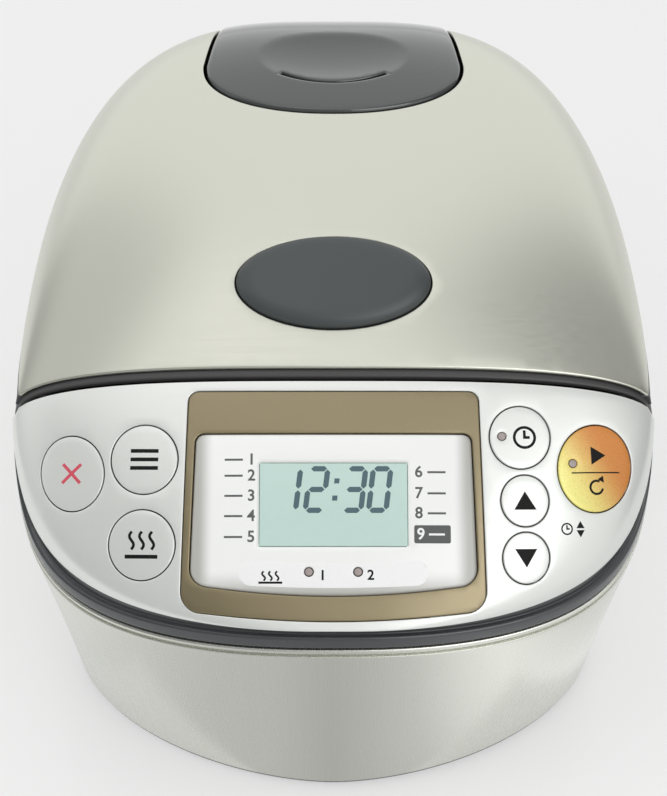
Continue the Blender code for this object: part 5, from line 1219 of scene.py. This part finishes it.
# the latch: two ears on the tray, the pin between them and the hook on the pin
latchPin = {"y": -64 * mm, "z": 165 * mm, "bore": 1.7 * mm, "boreHalf": 20 * mm}
latchEar = {"half": 4 * mm, "foot": 149.8 * mm, "wall": 3.7 * mm}
latchLine = Matrix.Translation((0, latchPin["y"], latchPin["z"])) @ acrossTurn
for low, name in ((-12 * mm, "latchEarLeft"), (8.3 * mm, "latchEarRight")):
    points = [(latchPin["y"] + side * latchEar["half"], latchEar["foot"]) for side in (-1, 1)]
    points += arc((latchPin["y"], latchPin["z"]), latchEar["half"], 0, 180, 24)
    piece = extruded(name, ringGrey, points, low, low + latchEar["wall"], sideFrame())
    bore = bar("bore", latchPin["bore"], -latchPin["boreHalf"], latchPin["boreHalf"], latchLine)
    fit(carved(piece, bore), "lid", "dark_grey_abs")
reworked("latch_hook", baseGrey, "latch", "grey_abs", 0.3 * mm)
reworked("latch_pin", springSteel, "lid", "spring_steel", 0.2 * mm)

# the button: a flat oval face with a broad bevel round it, and a post down to the latch; in mm, with
# the flange's width past the face's oval
buttonCap = {"foot": -4.2, "flange": -2.6, "flangeWidth": 2.0, "shoulder": 0.6, "proud": 4.0, "bevel": 9}
buttonPost = {"radius": 2.5 * mm, "foot": 168.5 * mm, "top": -4 * mm}
foot, flange, width, shoulder, proud, bevel = buttonCap.values()
levels = [(foot, width), (flange, width), (flange, 0.0), (shoulder, 0.0)]
for turn in np.linspace(0.25, 1.5, 7):
    levels.append((shoulder + (proud - shoulder) * math.sin(turn), -bevel * (1 - math.cos(turn))))
levels = rounded(levels, 0.6, 4, closed=False)[:-1] + [(proud, -bevel - 1)]
loops = []
for height, grow in levels:
    ring = oval(lidButton["halfX"] + grow * mm, lidButton["halfV"] + grow * mm, 144)
    loops.append([tuple(buttonFrame @ Vector((x, y, height * mm))) for x, y in ring])
fit(lofted("buttonCap", buttonGrey, loops, angle=50), "button", "grey_abs", "lid_button")
under = buttonFrame.inverted() @ Vector((0, lidButton["y"], buttonPost["foot"]))
place = Matrix.Translation(buttonFrame @ Vector((0, under.y, 0))) @ buttonFrame.to_3x3().to_4x4()
post = bar("buttonPost", buttonPost["radius"], under.z, buttonPost["top"], place, buttonGrey)
fit(post, "button", "grey_abs")
print("stage: lip, tray, latch and button")

# the steam vent: a lift-off cap that follows the lid, with a dish and a smile-shaped finger slit
ventCap = {"spacing": 1.9 * mm, "wall": 6.0 * mm, "edge": 1.6 * mm, "base": -0.5 * mm}  # proud of the lid
dish = {"halfX": 33.5, "halfY": 26.0, "depth": 3.6, "y": 72.0, "rimShare": 0.03}
slit = {"half": 22.5, "sag": 6.0, "width": 1.6, "front": 49.2}


def dishDepth(plan):  # how far the dish sinks below the cap's top
    ball = (dish["halfX"] ** 2 + dish["depth"] ** 2) / (2 * dish["depth"])
    x, y = plan[:, 0] / mm, (plan[:, 1] / mm - dish["y"]) * dish["halfX"] / dish["halfY"]
    top = float(skinHeight(0.0, dish["y"] * mm)) / mm - ventCap["base"] / mm
    hollow = top + ball - dish["depth"] - np.sqrt(np.maximum(ball**2 - x**2 - y**2, 0))
    skin = skinHeight(plan[:, 0], plan[:, 1], ventCap["base"]) / mm
    return np.where(x**2 + y**2 < (1.4 * dish["halfX"]) ** 2, np.maximum(skin - hollow, 0), 0) * mm


def slitOutline(grow):
    ball = (slit["half"] ** 2 + slit["sag"] ** 2) / (2 * slit["sag"])
    spread = math.degrees(math.asin(slit["half"] / ball))
    centre = (0.0, slit["front"] + ball)
    points = arc(centre, ball + grow, 270 - spread, 270 + spread, 40)
    points += arc(centre, ball - slit["width"] - grow, 270 + spread, 270 - spread, 40)
    return np.array(points) * (1 + grow / slit["half"], 1) * mm


def ventEdges(grow, inset):
    return [ventOutline(ventGap - grow / mm), slitOutline(-grow / mm)]


# rows of points on the dish's rim and on both sides of it keep its line crisp
rim = oval(dish["halfX"] * mm, dish["halfY"] * mm, 110) + (0, dish["y"] * mm)
shift = (0, dish["y"] * mm * dish["rimShare"])
marks = [rim, rim * (1 - dish["rimShare"]) + shift, rim * (1 + dish["rimShare"]) - shift]
patch = (ventEdges, *flatMaps(Matrix.Identity(4)))
cap = pressedShell("ventCap", ventGrey, patch, sink=dishDepth, marks=np.concatenate(marks), **ventCap)
fit(cap, "vent", "grey_abs", "steam_vent_cap")

# under the cap, turned round its axis: the sleeve, the case with its tube, and the seal round the tube
# the case ends under the cap and the sleeve inside it, both at their rear, where the skin is lowest
caseTop = float(skinHeight(0, ventAxis[1] + 30 * mm, 7 * mm)) / mm - 0.8
sleeveTop = float(skinHeight(0, ventAxis[1] + 32 * mm)) / mm - 1.0
sleeveProfile = [(30.3, sleeveTop), (31.9, sleeveTop), (31.9, caseTop - 6), (30.3, caseTop - 6)]
caseProfile = [(28.6, caseTop), (30, caseTop), (30, 168), (24, 164), (8, 164), (8, 153.5)]
caseProfile += [(6.6, 153.5), (6.6, 165.4), (23.5, 165.4), (28.6, 168.6)]
sealProfile = [(8.3, 156.3), (9.7, 156.3), (9.7, 152.3), (8.3, 152.3)]
ventPieces = {
    # name: slot, material, profile of radius and height in mm, nodes that it replaces
    "ventSleeve": ("dark_grey_abs", ventGrey, sleeveProfile, ()),
    "ventCase": ("grey_abs", baseGrey, caseProfile, ("steam_vent_case",)),
    "ventSeal": ("silicone", silicone, sealProfile, ("vent_gasket",)),
}
for name, (slotName, mat, points, nodes) in ventPieces.items():
    piece = turned(name, mat, millimetres(points), ventAxis, 0.4 * mm, 96)
    fit(piece, "vent", slotName, *nodes)
print("stage: steam vent")

# the control panel: one crowned sheet with openings for the display frame and the seven keys
panelMiddle = Vector((0, (splitY + frontY) / 2, float(crownAt((splitY + frontY) / 2))))
panelSlope = math.atan2(float(crownAt(splitY) - crownAt(frontY)), splitY - frontY)
panelFrame = Matrix.Translation(panelMiddle) @ Matrix.Rotation(panelSlope, 4, "X")
panel = {"spacing": 2.3 * mm, "wall": 2.4 * mm, "edge": 0.45 * mm}
panelStart = -87.7 * mm  # the panel's edge behind the lid's
panelGaps = {"key": 0.5 * mm, "frame": 0.3 * mm}
# the display's frame and window in mm: sides that flare downwards and a bowed bottom edge
displayFrame = {"half": 57, "flare": 2, "top": 41, "bottom": -46.5, "bow": 3.4, "corner": 4}
windowForm = {"half": 54, "flare": 1.6, "top": 23.8, "bottom": -36.5, "bow": 3.6, "corner": 3.5}


def panelPlace(x, v):  # a frame on the skin at x and v mm, measured from the panel's middle
    return skinFrame(*map(float, ontoSkin(panelFrame, [(x * mm, v * mm)])[0]))


def bowedOutline(sizes, grow):
    grow = grow / mm
    half, flare, top, bottom, bow, corner = sizes.values()
    corner, top, bottom = corner + grow, top + grow, bottom - grow
    narrow, wide = half + grow, half + flare + grow
    points = arc((narrow - corner, top - corner), corner, 90, 0, 12)
    points += arc((wide - corner * 2, bottom + corner * 2), corner * 2, 0, -78, 16)
    share = np.linspace(-1, 1, 41)[1:-1]
    points += [(-(wide - corner * 2) * s, bottom - bow * (1 - s**2)) for s in share]
    points += arc((-(wide - corner * 2), bottom + corner * 2), corner * 2, -102, -180, 16)
    points += arc((-(narrow - corner), top - corner), corner, 180, 90, 12)
    return evenLoop(points, 240) * mm


keys = {
    # node: body, x, v, half width, half height in mm, slot, material
    "cancel_key": ("cancel_button", -102.9, 9.1, 13.0, 14.8, "pearl_abs", pearl),
    "menu_key": ("menu_button", -74.0, 13.8, 13.0, 13.6, "pearl_abs", pearl),
    "keep_warm_key": ("keep_warm_button", -74.6, -19.9, 13.0, 13.6, "pearl_abs", pearl),
    "timer_key": ("timer_button", 73.1, 22.6, 11.8, 12.4, "pearl_abs", pearl),
    "up_key": ("up_button", 74.7, -2.6, 9.3, 10.0, "pearl_abs", pearl),
    "down_key": ("down_button", 74.9, -25.0, 9.1, 9.9, "pearl_abs", pearl),
    "start_key": ("start_button", 103.0, 11.1, 15.1, 17.2, "orange_key", orangeKey),
}
keyPlaces = {name: panelPlace(x, v) for name, (_, x, v, *_) in keys.items()}
panelEdge = levelCurve(panelStart, frontY, 0.0)


def panelEdges(grow, inset):
    opening = bowedOutline(displayFrame, panelGaps["frame"] - grow)
    loops = [panelEdge(grow, inset), ontoSkin(panelFrame, opening, inset)]
    gap = panelGaps["key"] - grow
    for name, (_, _, _, halfX, halfV, *_) in keys.items():
        loops.append(ontoSkin(keyPlaces[name], oval(halfX * mm + gap, halfV * mm + gap, 72), inset))
    return loops


patch = (panelEdges, *stretchedMaps(frontY - splitY))
fit(pressedShell("panelSheet", pearl, patch, **panel), "cooker", "pearl_abs", "control_panel")
print("stage: control panel pressed")

# the keys: caps flush with the panel, each on a flange and a stem; two have a lamp lens
keyCap = {"spacing": 1.8 * mm, "wall": 1.2 * mm, "edge": 0.45 * mm}
keyFlange = {"width": 1 * mm, "wall": 0.8 * mm, "gap": 0.4 * mm}
keyStem = {"radius": 2.6 * mm, "top": 0.8 * mm, "gap": 0.8 * mm}
keyLens = {"radius": 1.5 * mm, "gap": 0.25 * mm}
lensMesh = {"spacing": 0.8 * mm, "edge": 0.25 * mm}
lamps = {"timer_key": ("timer_lens", -7.1), "start_key": ("start_lens", -9.4)}  # the lens and its x in mm
boardDepth, switchHeight = 19.07 * mm, 3.6 * mm  # the board lies so deep under the panel's frame
for name, (body, x, v, halfX, halfV, slotName, mat) in keys.items():
    place = keyPlaces[name]
    lamp = lamps.get(name)

    def outlines(grow):
        made = [oval(halfX * mm + grow, halfV * mm + grow, 96)]
        if lamp:
            made += disc(keyLens["radius"] + keyLens["gap"], lamp[1] * mm)(-grow)
        return made

    cap = pressedShell(f"{name}Cap", mat, flatPatch(place, outlines), **keyCap)
    fit(cap, body, slotName, name)
    if lamp:
        patch = flatPatch(place, disc(keyLens["radius"], lamp[1] * mm))
        lens = pressedShell(f"{lamp[0]}Cap", lampLens, patch, wall=keyCap["wall"], **lensMesh)
        fit(lens, body, "lamp_lens", lamp[0])
    seat = oval(halfX * mm + keyFlange["width"], halfV * mm + keyFlange["width"], 72)
    plan = np.array([tuple(place @ Vector((a, b, 0)))[:2] for a, b in seat])
    inverse = place.inverted()
    drop = max(-(inverse @ Vector((a, b, float(skinHeight(a, b))))).z for a, b in plan)
    top = -(panel["wall"] + keyFlange["gap"] + drop)
    # the flange is black so that the gap round the cap reads dark: real shadow in the gap, deepened by
    # painted shade
    flange = extruded(f"{name}Flange", nylon, seat, top - keyFlange["wall"], top, place)
    fit(flange, body, slotName)
    reach = panelFrame.inverted() @ place.translation
    lean = (panelFrame.inverted() @ place).to_3x3() @ Vector((0, 0, 1))
    # the low side of a leaning stem's end
    corner = keyStem["radius"] * math.tan(lean.angle(Vector((0, 0, 1))))
    end = (boardDepth - switchHeight + reach.z) / lean.z - corner - keyStem["gap"]
    fit(bar(f"{name}Stem", keyStem["radius"], -end, -keyStem["top"], place, mat, 32), body, slotName)
print("stage: keys")

# the display: a bronze frame, a white window set into it, and the liquid crystal cell
displayBezel = {"spacing": 2.2 * mm, "wall": 2.4 * mm, "edge": 0.5 * mm}
displayWindow = {"spacing": 2.2 * mm, "wall": 1.8 * mm, "edge": 1.5 * mm, "base": 0.4 * mm}
windowGap = 0.3 * mm
lcdCell = {"halfX": 28.8, "top": 12.2, "bottom": -20.7, "gap": 0.15, "depth": 1.4}  # in mm
warmLens = {"radius": 1.5 * mm, "gap": 0.3 * mm, "base": 0.6 * mm}
lensPlaces = {side: panelPlace(x, -30.8) for side, x in (("left", -9.5), ("right", 9.5))}


def bezelOutlines(grow):
    return [bowedOutline(displayFrame, grow), bowedOutline(windowForm, windowGap - grow)]


def lensHoles(radius, inset):
    return [ontoSkin(place, oval(radius, radius, 32), inset) for place in lensPlaces.values()]


def windowEdges(grow, inset):
    halfX = lcdCell["halfX"] + lcdCell["gap"] - grow / mm
    top = lcdCell["top"] + lcdCell["gap"] - grow / mm
    bottom = lcdCell["bottom"] - lcdCell["gap"] + grow / mm
    cell = rounded([(-halfX, top), (halfX, top), (halfX, bottom), (-halfX, bottom)], 0.5, 3)
    loops = [ontoSkin(panelFrame, bowedOutline(windowForm, grow), inset)]
    loops.append(ontoSkin(panelFrame, evenLoop(cell, 150) * mm, inset))
    return loops + lensHoles(warmLens["radius"] + warmLens["gap"] - grow, inset)


bezel = pressedShell("displayBezel", bronze, flatPatch(panelFrame, bezelOutlines), **displayBezel)
fit(bezel, "cooker", "bronze_film", "display_frame")
patch = (windowEdges, *flatMaps(panelFrame))
window = pressedShell("displayWindow", whiteAcrylic, patch, **displayWindow)
fit(window, "cooker", "white_acrylic", "display_window")
sizes = {"wall": displayWindow["wall"], "base": warmLens["base"], **lensMesh}
for side, place in lensPlaces.items():
    patch = flatPatch(place, disc(warmLens["radius"]))
    lens = pressedShell(f"keepWarmLens{side.title()}", lampLens, patch, **sizes)
    fit(lens, "cooker", "lamp_lens", f"keep_warm_lens_{side}")
reworked("lcd_module", lcdGlass, "cooker", "lcd_glass", 0.2 * mm)
reworked("control_board", laminate, "cooker", "board_laminate", 0.2 * mm)
reworked("power_board", laminate, "cooker", "board_laminate", 0.3 * mm)
reworked("transformer", laminations, "cooker", "transformer_steel", 0.5 * mm)
reworked("power_inlet", nylon, "cooker", "black_nylon", 0.5 * mm)
print("stage: display, boards and inlet")

# what is printed: plain numbers and signs, each a thin film of ink laid on the form
legend = {"ink": 0.03 * mm, "height": 4.6, "spacing": 1.3 * mm, "time": "1230"}
figureSize = 1.35  # the font's size for a figure one high


def inked(name, mat, body, slot, place, flats, base=0.0, level=None):
    # flats are outlines with their faces, drawn in the place's frame; base is the film's depth below
    # the skin, or with a level it lies flat at that height
    plan, insets, faces, size = [], [], [], 0
    for points, polys in flats:
        count = len(points)
        directed = {(a, b) for poly in polys for a, b in zip(poly, poly[1:] + poly[:1])}
        rim = [(a, b) for a, b in directed if (b, a) not in directed]
        faces += [[size + i for i in poly] for poly in polys]
        faces += [[size + count + i for i in reversed(poly)] for poly in polys]
        faces += [[size + b, size + a, size + count + a, size + count + b] for a, b in rim]
        plan += [points, points]
        insets += [base - legend["ink"]] * count + [base + legend["ink"]] * count
        size += 2 * count
    plan, insets = np.concatenate(plan), np.array(insets)
    if level is None:
        piece = pressed(name, mat, ontoSkin(place, plan, base), insets, faces)
    else:
        mesh = meshOf(name, np.column_stack([plan, level - insets]), faces)
        mesh.transform(place)
        piece = addObject(name, mesh, mat)
    return fit(piece, body, slot)


def divided(loop, spacing):  # the same outline with more points along its long sides
    loop, made = np.asarray(loop, float) * mm, []
    for start, end in zip(loop, np.roll(loop, -1, 0)):
        steps = max(math.ceil(np.hypot(*(end - start)) / spacing), 1)
        made += [start + (end - start) * step / steps for step in range(steps)]
    return np.array(made)


def area(*loops):  # a filled outline in mm, with holes
    return fillPattern([divided(loop, legend["spacing"]) for loop in loops], legend["spacing"])


def numeral(text, x, y, size=legend["height"]):
    curve = bpy.data.curves.new("numeral", "FONT")
    curve.body = text
    curve.size = size * figureSize * mm
    curve.align_x = "CENTER"
    curve.align_y = "CENTER"
    curve.resolution_u = 5
    curve.offset = 0.12 * mm  # a bold face
    obj = bpy.data.objects.new("numeral", curve)
    bpy.context.scene.collection.objects.link(obj)
    obj = baked(obj)
    points = np.array([tuple(v.co)[:2] for v in obj.data.vertices]) + (x * mm, y * mm)
    faces = [list(poly.vertices) for poly in obj.data.polygons]
    bpy.data.objects.remove(obj, do_unlink=True)
    return points, faces


def strip(x0, y0, x1, y1, width):  # a straight stroke
    along = np.array([x1 - x0, y1 - y0], float)
    side = np.array([-along[1], along[0]]) / np.hypot(*along) * width / 2
    start, end = np.array([x0, y0]), np.array([x1, y1])
    return np.array([start - side, end - side, end + side, start + side])


def ribbon(points, width):  # a stroke along a bent line
    points = np.asarray(points, float)
    way = np.gradient(points, axis=0)
    side = np.stack([-way[:, 1], way[:, 0]], 1) / np.hypot(*way.T)[:, None] * width / 2
    return np.concatenate([points - side, (points + side)[::-1]])


def wave(x, low, high, width=1.1, swing=0.9):  # one rising wisp of steam
    y = np.linspace(low, high, 13)
    return ribbon(np.stack([x + swing * np.sin((y - low) / (high - low) * 2 * np.pi), y], 1), width)


def circle(x, y, radius):
    return oval(radius, radius, 48) + (x, y)


def clock(x, y, radius, width):  # a ring with two hands that meet in its middle
    half, across, up = width / 2, radius * 0.45, radius * 0.62
    hands = [(x - half, y - half), (x + across, y - half), (x + across, y + half)]
    hands += [(x + half, y + half), (x + half, y + up), (x - half, y + up)]
    return [area(circle(x, y, radius), circle(x, y, radius - width)), area(hands)]


def arrow(x, y, half, way):  # a solid triangle that points up or down
    foot = y - way * half * 0.8
    return area([(x - half, foot), (x + half, foot), (x, y + way * half * 0.85)])


readerUp = Vector((0, 0.68, 0.73))  # what is up for someone who looks down at the panel


def levelled(place):  # the same spot, turned so that signs stand level for a reader in front
    z = place.to_3x3() @ Vector((0, 0, 1))
    across = readerUp.cross(z).normalized()
    turn = Matrix((across, z.cross(across), z)).transposed().to_4x4()
    return Matrix.Translation(place.translation) @ turn


arm = np.array([(0.9, 0), (4.2, 3.3), (3.3, 4.2)])
quarterTurn = np.array([(0, 1), (-1, 0)])
cross = np.concatenate([arm @ np.linalg.matrix_power(quarterTurn, count) for count in range(4)])
turn = np.radians(np.linspace(60, 350, 30))
again = ribbon(np.stack([2.6 * np.cos(turn), 2.6 * np.sin(turn) - 7.4], 1), 0.9)
steam = [area(wave(x, -1.8, 5.2)) for x in (-4, 0, 4)]
signs = {
    # key: ink, and the areas that make its sign, in mm from the key's middle
    "cancel_key": (inkRed, [area(cross)]),
    "menu_key": (inkBlack, [area(strip(-5.5, level, 5.5, level, 1.5)) for level in (3.4, 0, -3.4)]),
    "keep_warm_key": (inkBlack, steam + [area(strip(-6.5, -4.6, 6.5, -4.6, 1.5))]),
    "timer_key": (inkBlack, clock(1.8, 0.0, 4.6, 1.1)),
    "up_key": (inkBlack, [arrow(0, 0, 4.4, 1)]),
    "down_key": (inkBlack, [arrow(0, 0, 4.4, -1)]),
    "start_key": (inkBlack, [
        area([(-1.6, 1.6), (4.4, 5.2), (-1.6, 8.8)]),
        area(strip(-10, -1.6, 10, -1.6, 0.5)),
        area(again),
        area([(0.6, -4.2), (2.9, -2.8), (3.2, -5.6)]),
    ]),
}
for name, (mat, flats) in signs.items():
    inked(f"{name}Sign", mat, keys[name][0], keys[name][5], levelled(keyPlaces[name]), flats)
timeSign = clock(-3.0, 0, 2.4, 0.6) + [arrow(2.6, 1.6, 1.7, 1), arrow(2.6, -1.9, 1.7, -1)]
inked("timeSign", inkBlack, "cooker", "pearl_abs", levelled(panelPlace(94, -13)), timeSign)

# numbers of the cooking courses beside the display, each with a bar for its name; the last on a dark tab
courses = [(-32, v) for v in (13.4, 7.0, -1.0, -9.0, -17.2)] + [(33.2, v) for v in (8.4, 0.0, -7.9)]
courseBar = {"start": 3.4, "end": 10.5, "width": 0.8}
drop = displayWindow["base"]
numbers = [numeral(str(index + 1), x, v) for index, (x, v) in enumerate(courses)]
for x, v in courses:
    start, end = [x + math.copysign(courseBar[key], x) for key in ("start", "end")]
    numbers.append(area(strip(start, v, end, v, courseBar["width"])))
inked("courseNumbers", inkGrey, "cooker", "white_acrylic", panelFrame, numbers, drop)
tab = rounded([(31.3, -12.6), (45.5, -12.6), (45.5, -19.7), (31.3, -19.7)], 0.8, 3)
inked("courseTab", inkGrey, "cooker", "white_acrylic", panelFrame, [area(tab)], drop)
last = [numeral("9", 33.9, -16.2), area(strip(37, -16.2, 43.2, -16.2, courseBar["width"]))]
inked("courseTabNumber", pillPrint, "cooker", "white_acrylic", panelFrame, last, drop - legend["ink"])

# the raised white bar of the keep warm lamps, with its signs; in mm
warmBar = {"half": 36.9, "top": -26.3, "bottom": -35.9, "bow": 1.2, "raise": 0.12, "holes": 2.0}


def warmBarOutline(grow):
    middle = (warmBar["top"] + warmBar["bottom"]) / 2
    half = (warmBar["top"] - warmBar["bottom"]) / 2 + grow / mm
    ends = arc((warmBar["half"] - half, middle), half, 90, -90, 16)
    ends += arc((half - warmBar["half"], middle), half, 270, 90, 16)
    loop = evenLoop(ends, 150)
    bow = warmBar["bow"] * (1 - (loop[:, 0] / warmBar["half"]) ** 2)
    return (loop - np.stack([0 * bow, bow], 1)) * mm


def warmBarEdges(grow, inset):
    holes = lensHoles(warmBar["holes"] * mm - grow, inset)
    return [ontoSkin(panelFrame, warmBarOutline(grow), inset)] + holes


patch = (warmBarEdges, *flatMaps(lensPlaces["right"]))  # filled as it lies on the skin at a lens
sizes = {"spacing": 2 * mm, "wall": 0.4 * mm, "edge": 0.1 * mm, "base": drop - warmBar["raise"] * mm}
fit(pressedShell("keepWarmBar", pillPrint, patch, **sizes), "cooker", "white_acrylic")
warmSigns = [area(wave(x, -34.2, -30.6, 0.7, 0.6)) for x in (-27, -24.4, -21.8)]
warmSigns += [area(strip(-29, -35.0, -19.8, -35.0, 0.8))]
warmSigns += [numeral("1", -4.2, -32.3, 4.0), numeral("2", 14.4, -32.2, 4.0)]
top = drop - (warmBar["raise"] + 0.02) * mm
inked("keepWarmMarks", inkBlack, "cooker", "white_acrylic", panelFrame, warmSigns, top)

# the time on the display in slanted seven-part digits, in mm
digit = {"width": 8.9, "height": 18.6, "thick": 2.1, "gap": 0.3, "slant": 0.12, "middle": 1.7}
digitPlaces = (-17.2, -6.6, 8.2, 18.0)
digitParts = {"0": "abcdef", "1": "bc", "2": "abged", "3": "abgcd", "4": "fgbc", "5": "afgcd", "6": "afgecd"}
digitParts.update({"7": "abc", "8": "abcdefg", "9": "abcdfg"})


def segment(x0, y0, x1, y1):
    along = np.array([x1 - x0, y1 - y0], float)
    along /= np.hypot(*along)
    side, half = np.array([-along[1], along[0]]), digit["thick"] / 2
    start = np.array([x0, y0]) + along * digit["gap"]
    end = np.array([x1, y1]) - along * digit["gap"]
    ring = [start, start + half * (along + side), end + half * (side - along)]
    ring += [end, end - half * (side + along), start + half * (along - side)]
    return [(x + digit["slant"] * (y - digit["middle"]), y) for x, y in ring]


def drawnDigit(sign, x):
    half, up = digit["width"] / 2 - digit["thick"] / 2, digit["height"] / 2 - digit["thick"] / 2
    mid = digit["middle"]
    ends = {
        "a": (-half, up, half, up),
        "b": (half, up, half, 0),
        "c": (half, 0, half, -up),
        "d": (-half, -up, half, -up),
        "e": (-half, 0, -half, -up),
        "f": (-half, up, -half, 0),
        "g": (-half, 0, half, 0),
    }
    strokes = [ends[part] for part in digitParts[sign]]
    return [segment(x + a, mid + b, x + c, mid + d) for a, b, c, d in strokes]


shapes = [ring for sign, x in zip(legend["time"], digitPlaces) for ring in drawnDigit(sign, x)]
for y in (3.4, -3.4):  # the colon's dots
    dot = np.array([(-1, -1), (1, -1), (1.2, 1), (-0.8, 1)])
    shapes.append(dot + (0.8 + digit["slant"] * y, digit["middle"] + y))
flats = [(np.array(shape) * mm, [list(range(len(shape)))]) for shape in shapes]
level = (0.02 - lcdCell["depth"]) * mm
inked("displayDigits", lcdInk, "cooker", "lcd_glass", panelFrame, flats, 0.0, level)
print("stage: printed numbers and signs")

# the floor: pale paper that the camera and the reflections see a little brighter
studio = {"floor": "#EFEFEF", "floorSeen": 0.5, "floorMirrored": 0.5, "sky": 0.55}
white = (1, 1, 1, 1)
floorMesh = meshOf("floor", [(-6, -6, 0), (6, -6, 0), (6, 6, 0), (-6, 6, 0)], [[0, 1, 2, 3]], outward=False)
floorPaint = newMaterial("studioPaperWhite", studio["floor"], 0.9)
tree = floorPaint.node_tree
rays = addNode(tree, "ShaderNodeLightPath")
direct = {0: rays.outputs["Is Camera Ray"], 1: studio["floorSeen"]}
seen = addNode(tree, "ShaderNodeMath", direct, operation="MULTIPLY")
glossy = {0: rays.outputs["Is Glossy Ray"], 1: studio["floorMirrored"]}
mirrored = addNode(tree, "ShaderNodeMath", glossy, operation="MULTIPLY")
share = addNode(tree, "ShaderNodeMath", {0: seen.outputs[0], 1: mirrored.outputs[0]}, operation="ADD")
glow = addNode(tree, "ShaderNodeEmission", {"Color": white, "Strength": 1.0})
paper = tree.nodes["Principled BSDF"]
mixed = addNode(tree, "ShaderNodeMixShader", {0: share.outputs[0], 1: paper.outputs[0], 2: glow.outputs[0]})
tree.links.new(mixed.outputs[0], tree.nodes["Material Output"].inputs["Surface"])
addObject("floor", floorMesh, floorPaint)

# the sky: white where it is seen, and dimmer as a light
world = bpy.data.worlds.new("studio")
bpy.context.scene.world = world
world.use_nodes = True
tree = world.node_tree
tree.nodes.clear()
rays = addNode(tree, "ShaderNodeLightPath")
seen = rays.outputs["Is Camera Ray"]
for other in ("Is Glossy Ray", "Is Transmission Ray"):
    seen = addNode(tree, "ShaderNodeMath", {0: seen, 1: rays.outputs[other]}, operation="MAXIMUM").outputs[0]
level = addNode(tree, "ShaderNodeMapRange", {0: seen, 3: studio["sky"], 4: 1.0})
sky = addNode(tree, "ShaderNodeBackground", {"Color": white, "Strength": level.outputs[0]})
addNode(tree, "ShaderNodeOutputWorld", {"Surface": sky.outputs[0]})

softboxes = {
    # name: place, target, side in metres, watts, whether reflections show it
    "keyLight": ((0.52, -1.05, 1.35), (0, 0, 0.1), 0.8, 3.4, True),
    "overheadStrip": ((-0.3, -0.25, 1.9), (0, -0.1, 0.1), 0.7, 0.45, True),
    "topLight": ((0, 0.2, 1.9), (0, 0, 0.1), 1.6, 8.5, False),
    "leftLight": ((-1.3, -0.5, 1.0), (0, 0, 0.1), 0.9, 3, False),
}
for name, (place, target, side, watts, mirrored) in softboxes.items():
    lamp = bpy.data.lights.new(name, "AREA")
    lamp.shape = "SQUARE"
    lamp.size = side
    lamp.energy = watts
    box = bpy.data.objects.new(name, lamp)
    bpy.context.scene.collection.objects.link(box)
    box.location = place
    box.rotation_euler = (Vector(target) - Vector(place)).to_track_quat("-Z", "Y").to_euler()
    box.visible_glossy = mirrored

# grey cards at the sides, in front and on the floor give the steel its bands; only reflections see them.
# Each is a strip of rows (first end, second end, brightness), graded from row to row.
cards = {
    "left": [
        ((-1.1, -0.45, 0.1), (-1.1, 0.8, 0.1), 0.3),
        ((-0.9, -0.42, 0.75), (-0.92, 0.68, 0.75), 0.69),
        ((-0.45, -0.36, 2.3), (-0.5, 0.4, 2.3), 0.64),
    ],
    "right": [
        ((1.1, -0.4, 0.1), (1.1, 0.65, 0.1), 0.12),
        ((0.84, -0.37, 0.7), (0.9, 0.51, 0.7), 0.34),
        ((0.1, -0.3, 2.3), (0.35, 0.12, 2.3), 0.38),
    ],
    "front": [
        ((-1.15, -0.4, 0.05), (-0.95, -0.35, 1.1), 0.12),
        ((-0.5, -0.76, 0.05), (-0.4, -0.61, 1.5), 0.3),
        ((0.1, -1.1, 0.05), (0.1, -0.85, 1.85), 0.42),
    ],
}
floorBands = {"start": -0.8, "height": 0.003, "under": -0.155}  # they end under the cooker's front
# x, brightness and the end's y where a band runs further back beside the cooker
bands = [(-0.45, 0.84, 0.2), (-0.145, 0.84, 0.0), (-0.11, 0.72), (-0.065, 0.64), (-0.03, 0.62), (0.0, 0.53)]
bands += [(0.025, 0.62), (0.045, 0.7), (0.07, 0.9), (0.1, 1.1), (0.145, 0.82, 0.0), (0.45, 0.8, 0.2)]
cards["floor"] = []
for x, brightness, *end in bands:
    near = end[0] if end else floorBands["under"]
    first, second = [(x, y, floorBands["height"]) for y in (floorBands["start"], near)]
    cards["floor"].append((first, second, brightness))
for side, rows in cards.items():
    paint = bpy.data.materials.new("studioCardGrey")
    paint.use_nodes = True
    tree = paint.node_tree
    tree.nodes.clear()
    level = addNode(tree, "ShaderNodeAttribute", attribute_name="brightness")
    glow = addNode(tree, "ShaderNodeEmission", {"Color": white, "Strength": level.outputs["Fac"]})
    addNode(tree, "ShaderNodeOutputMaterial", {"Surface": glow.outputs[0]})
    corners = [corner for first, second, _ in rows for corner in (first, second)]
    faces = [[2 * at, 2 * at + 1, 2 * at + 3, 2 * at + 2] for at in range(len(rows) - 1)]
    mesh = meshOf("studioCard", corners, faces, outward=False)
    levels = [value for *_, value in rows for _ in (0, 1)]
    mesh.attributes.new("brightness", "FLOAT", "POINT").data.foreach_set("value", levels)
    card = addObject(f"studioCard_{side}", mesh, paint)
    for sight in ("camera", "diffuse", "transmission", "shadow", "volume_scatter"):
        setattr(card, f"visible_{sight}", False)

view = {"lens": 124.138, "sensor": 36, "down": 42.7, "place": (0, -0.759, 0.777)}  # mm, degrees, metres
camera = bpy.data.cameras.new("camera")
camera.sensor_width = view["sensor"]
camera.sensor_fit = "HORIZONTAL"
camera.lens = view["lens"]
camera.clip_start = 0.01
eye = bpy.data.objects.new("camera", camera)
bpy.context.scene.collection.objects.link(eye)
eye.location = view["place"]
eye.rotation_euler = (math.radians(90 - view["down"]), 0, 0)
bpy.context.scene.camera = eye
bpy.context.scene.view_settings.view_transform = "Standard"
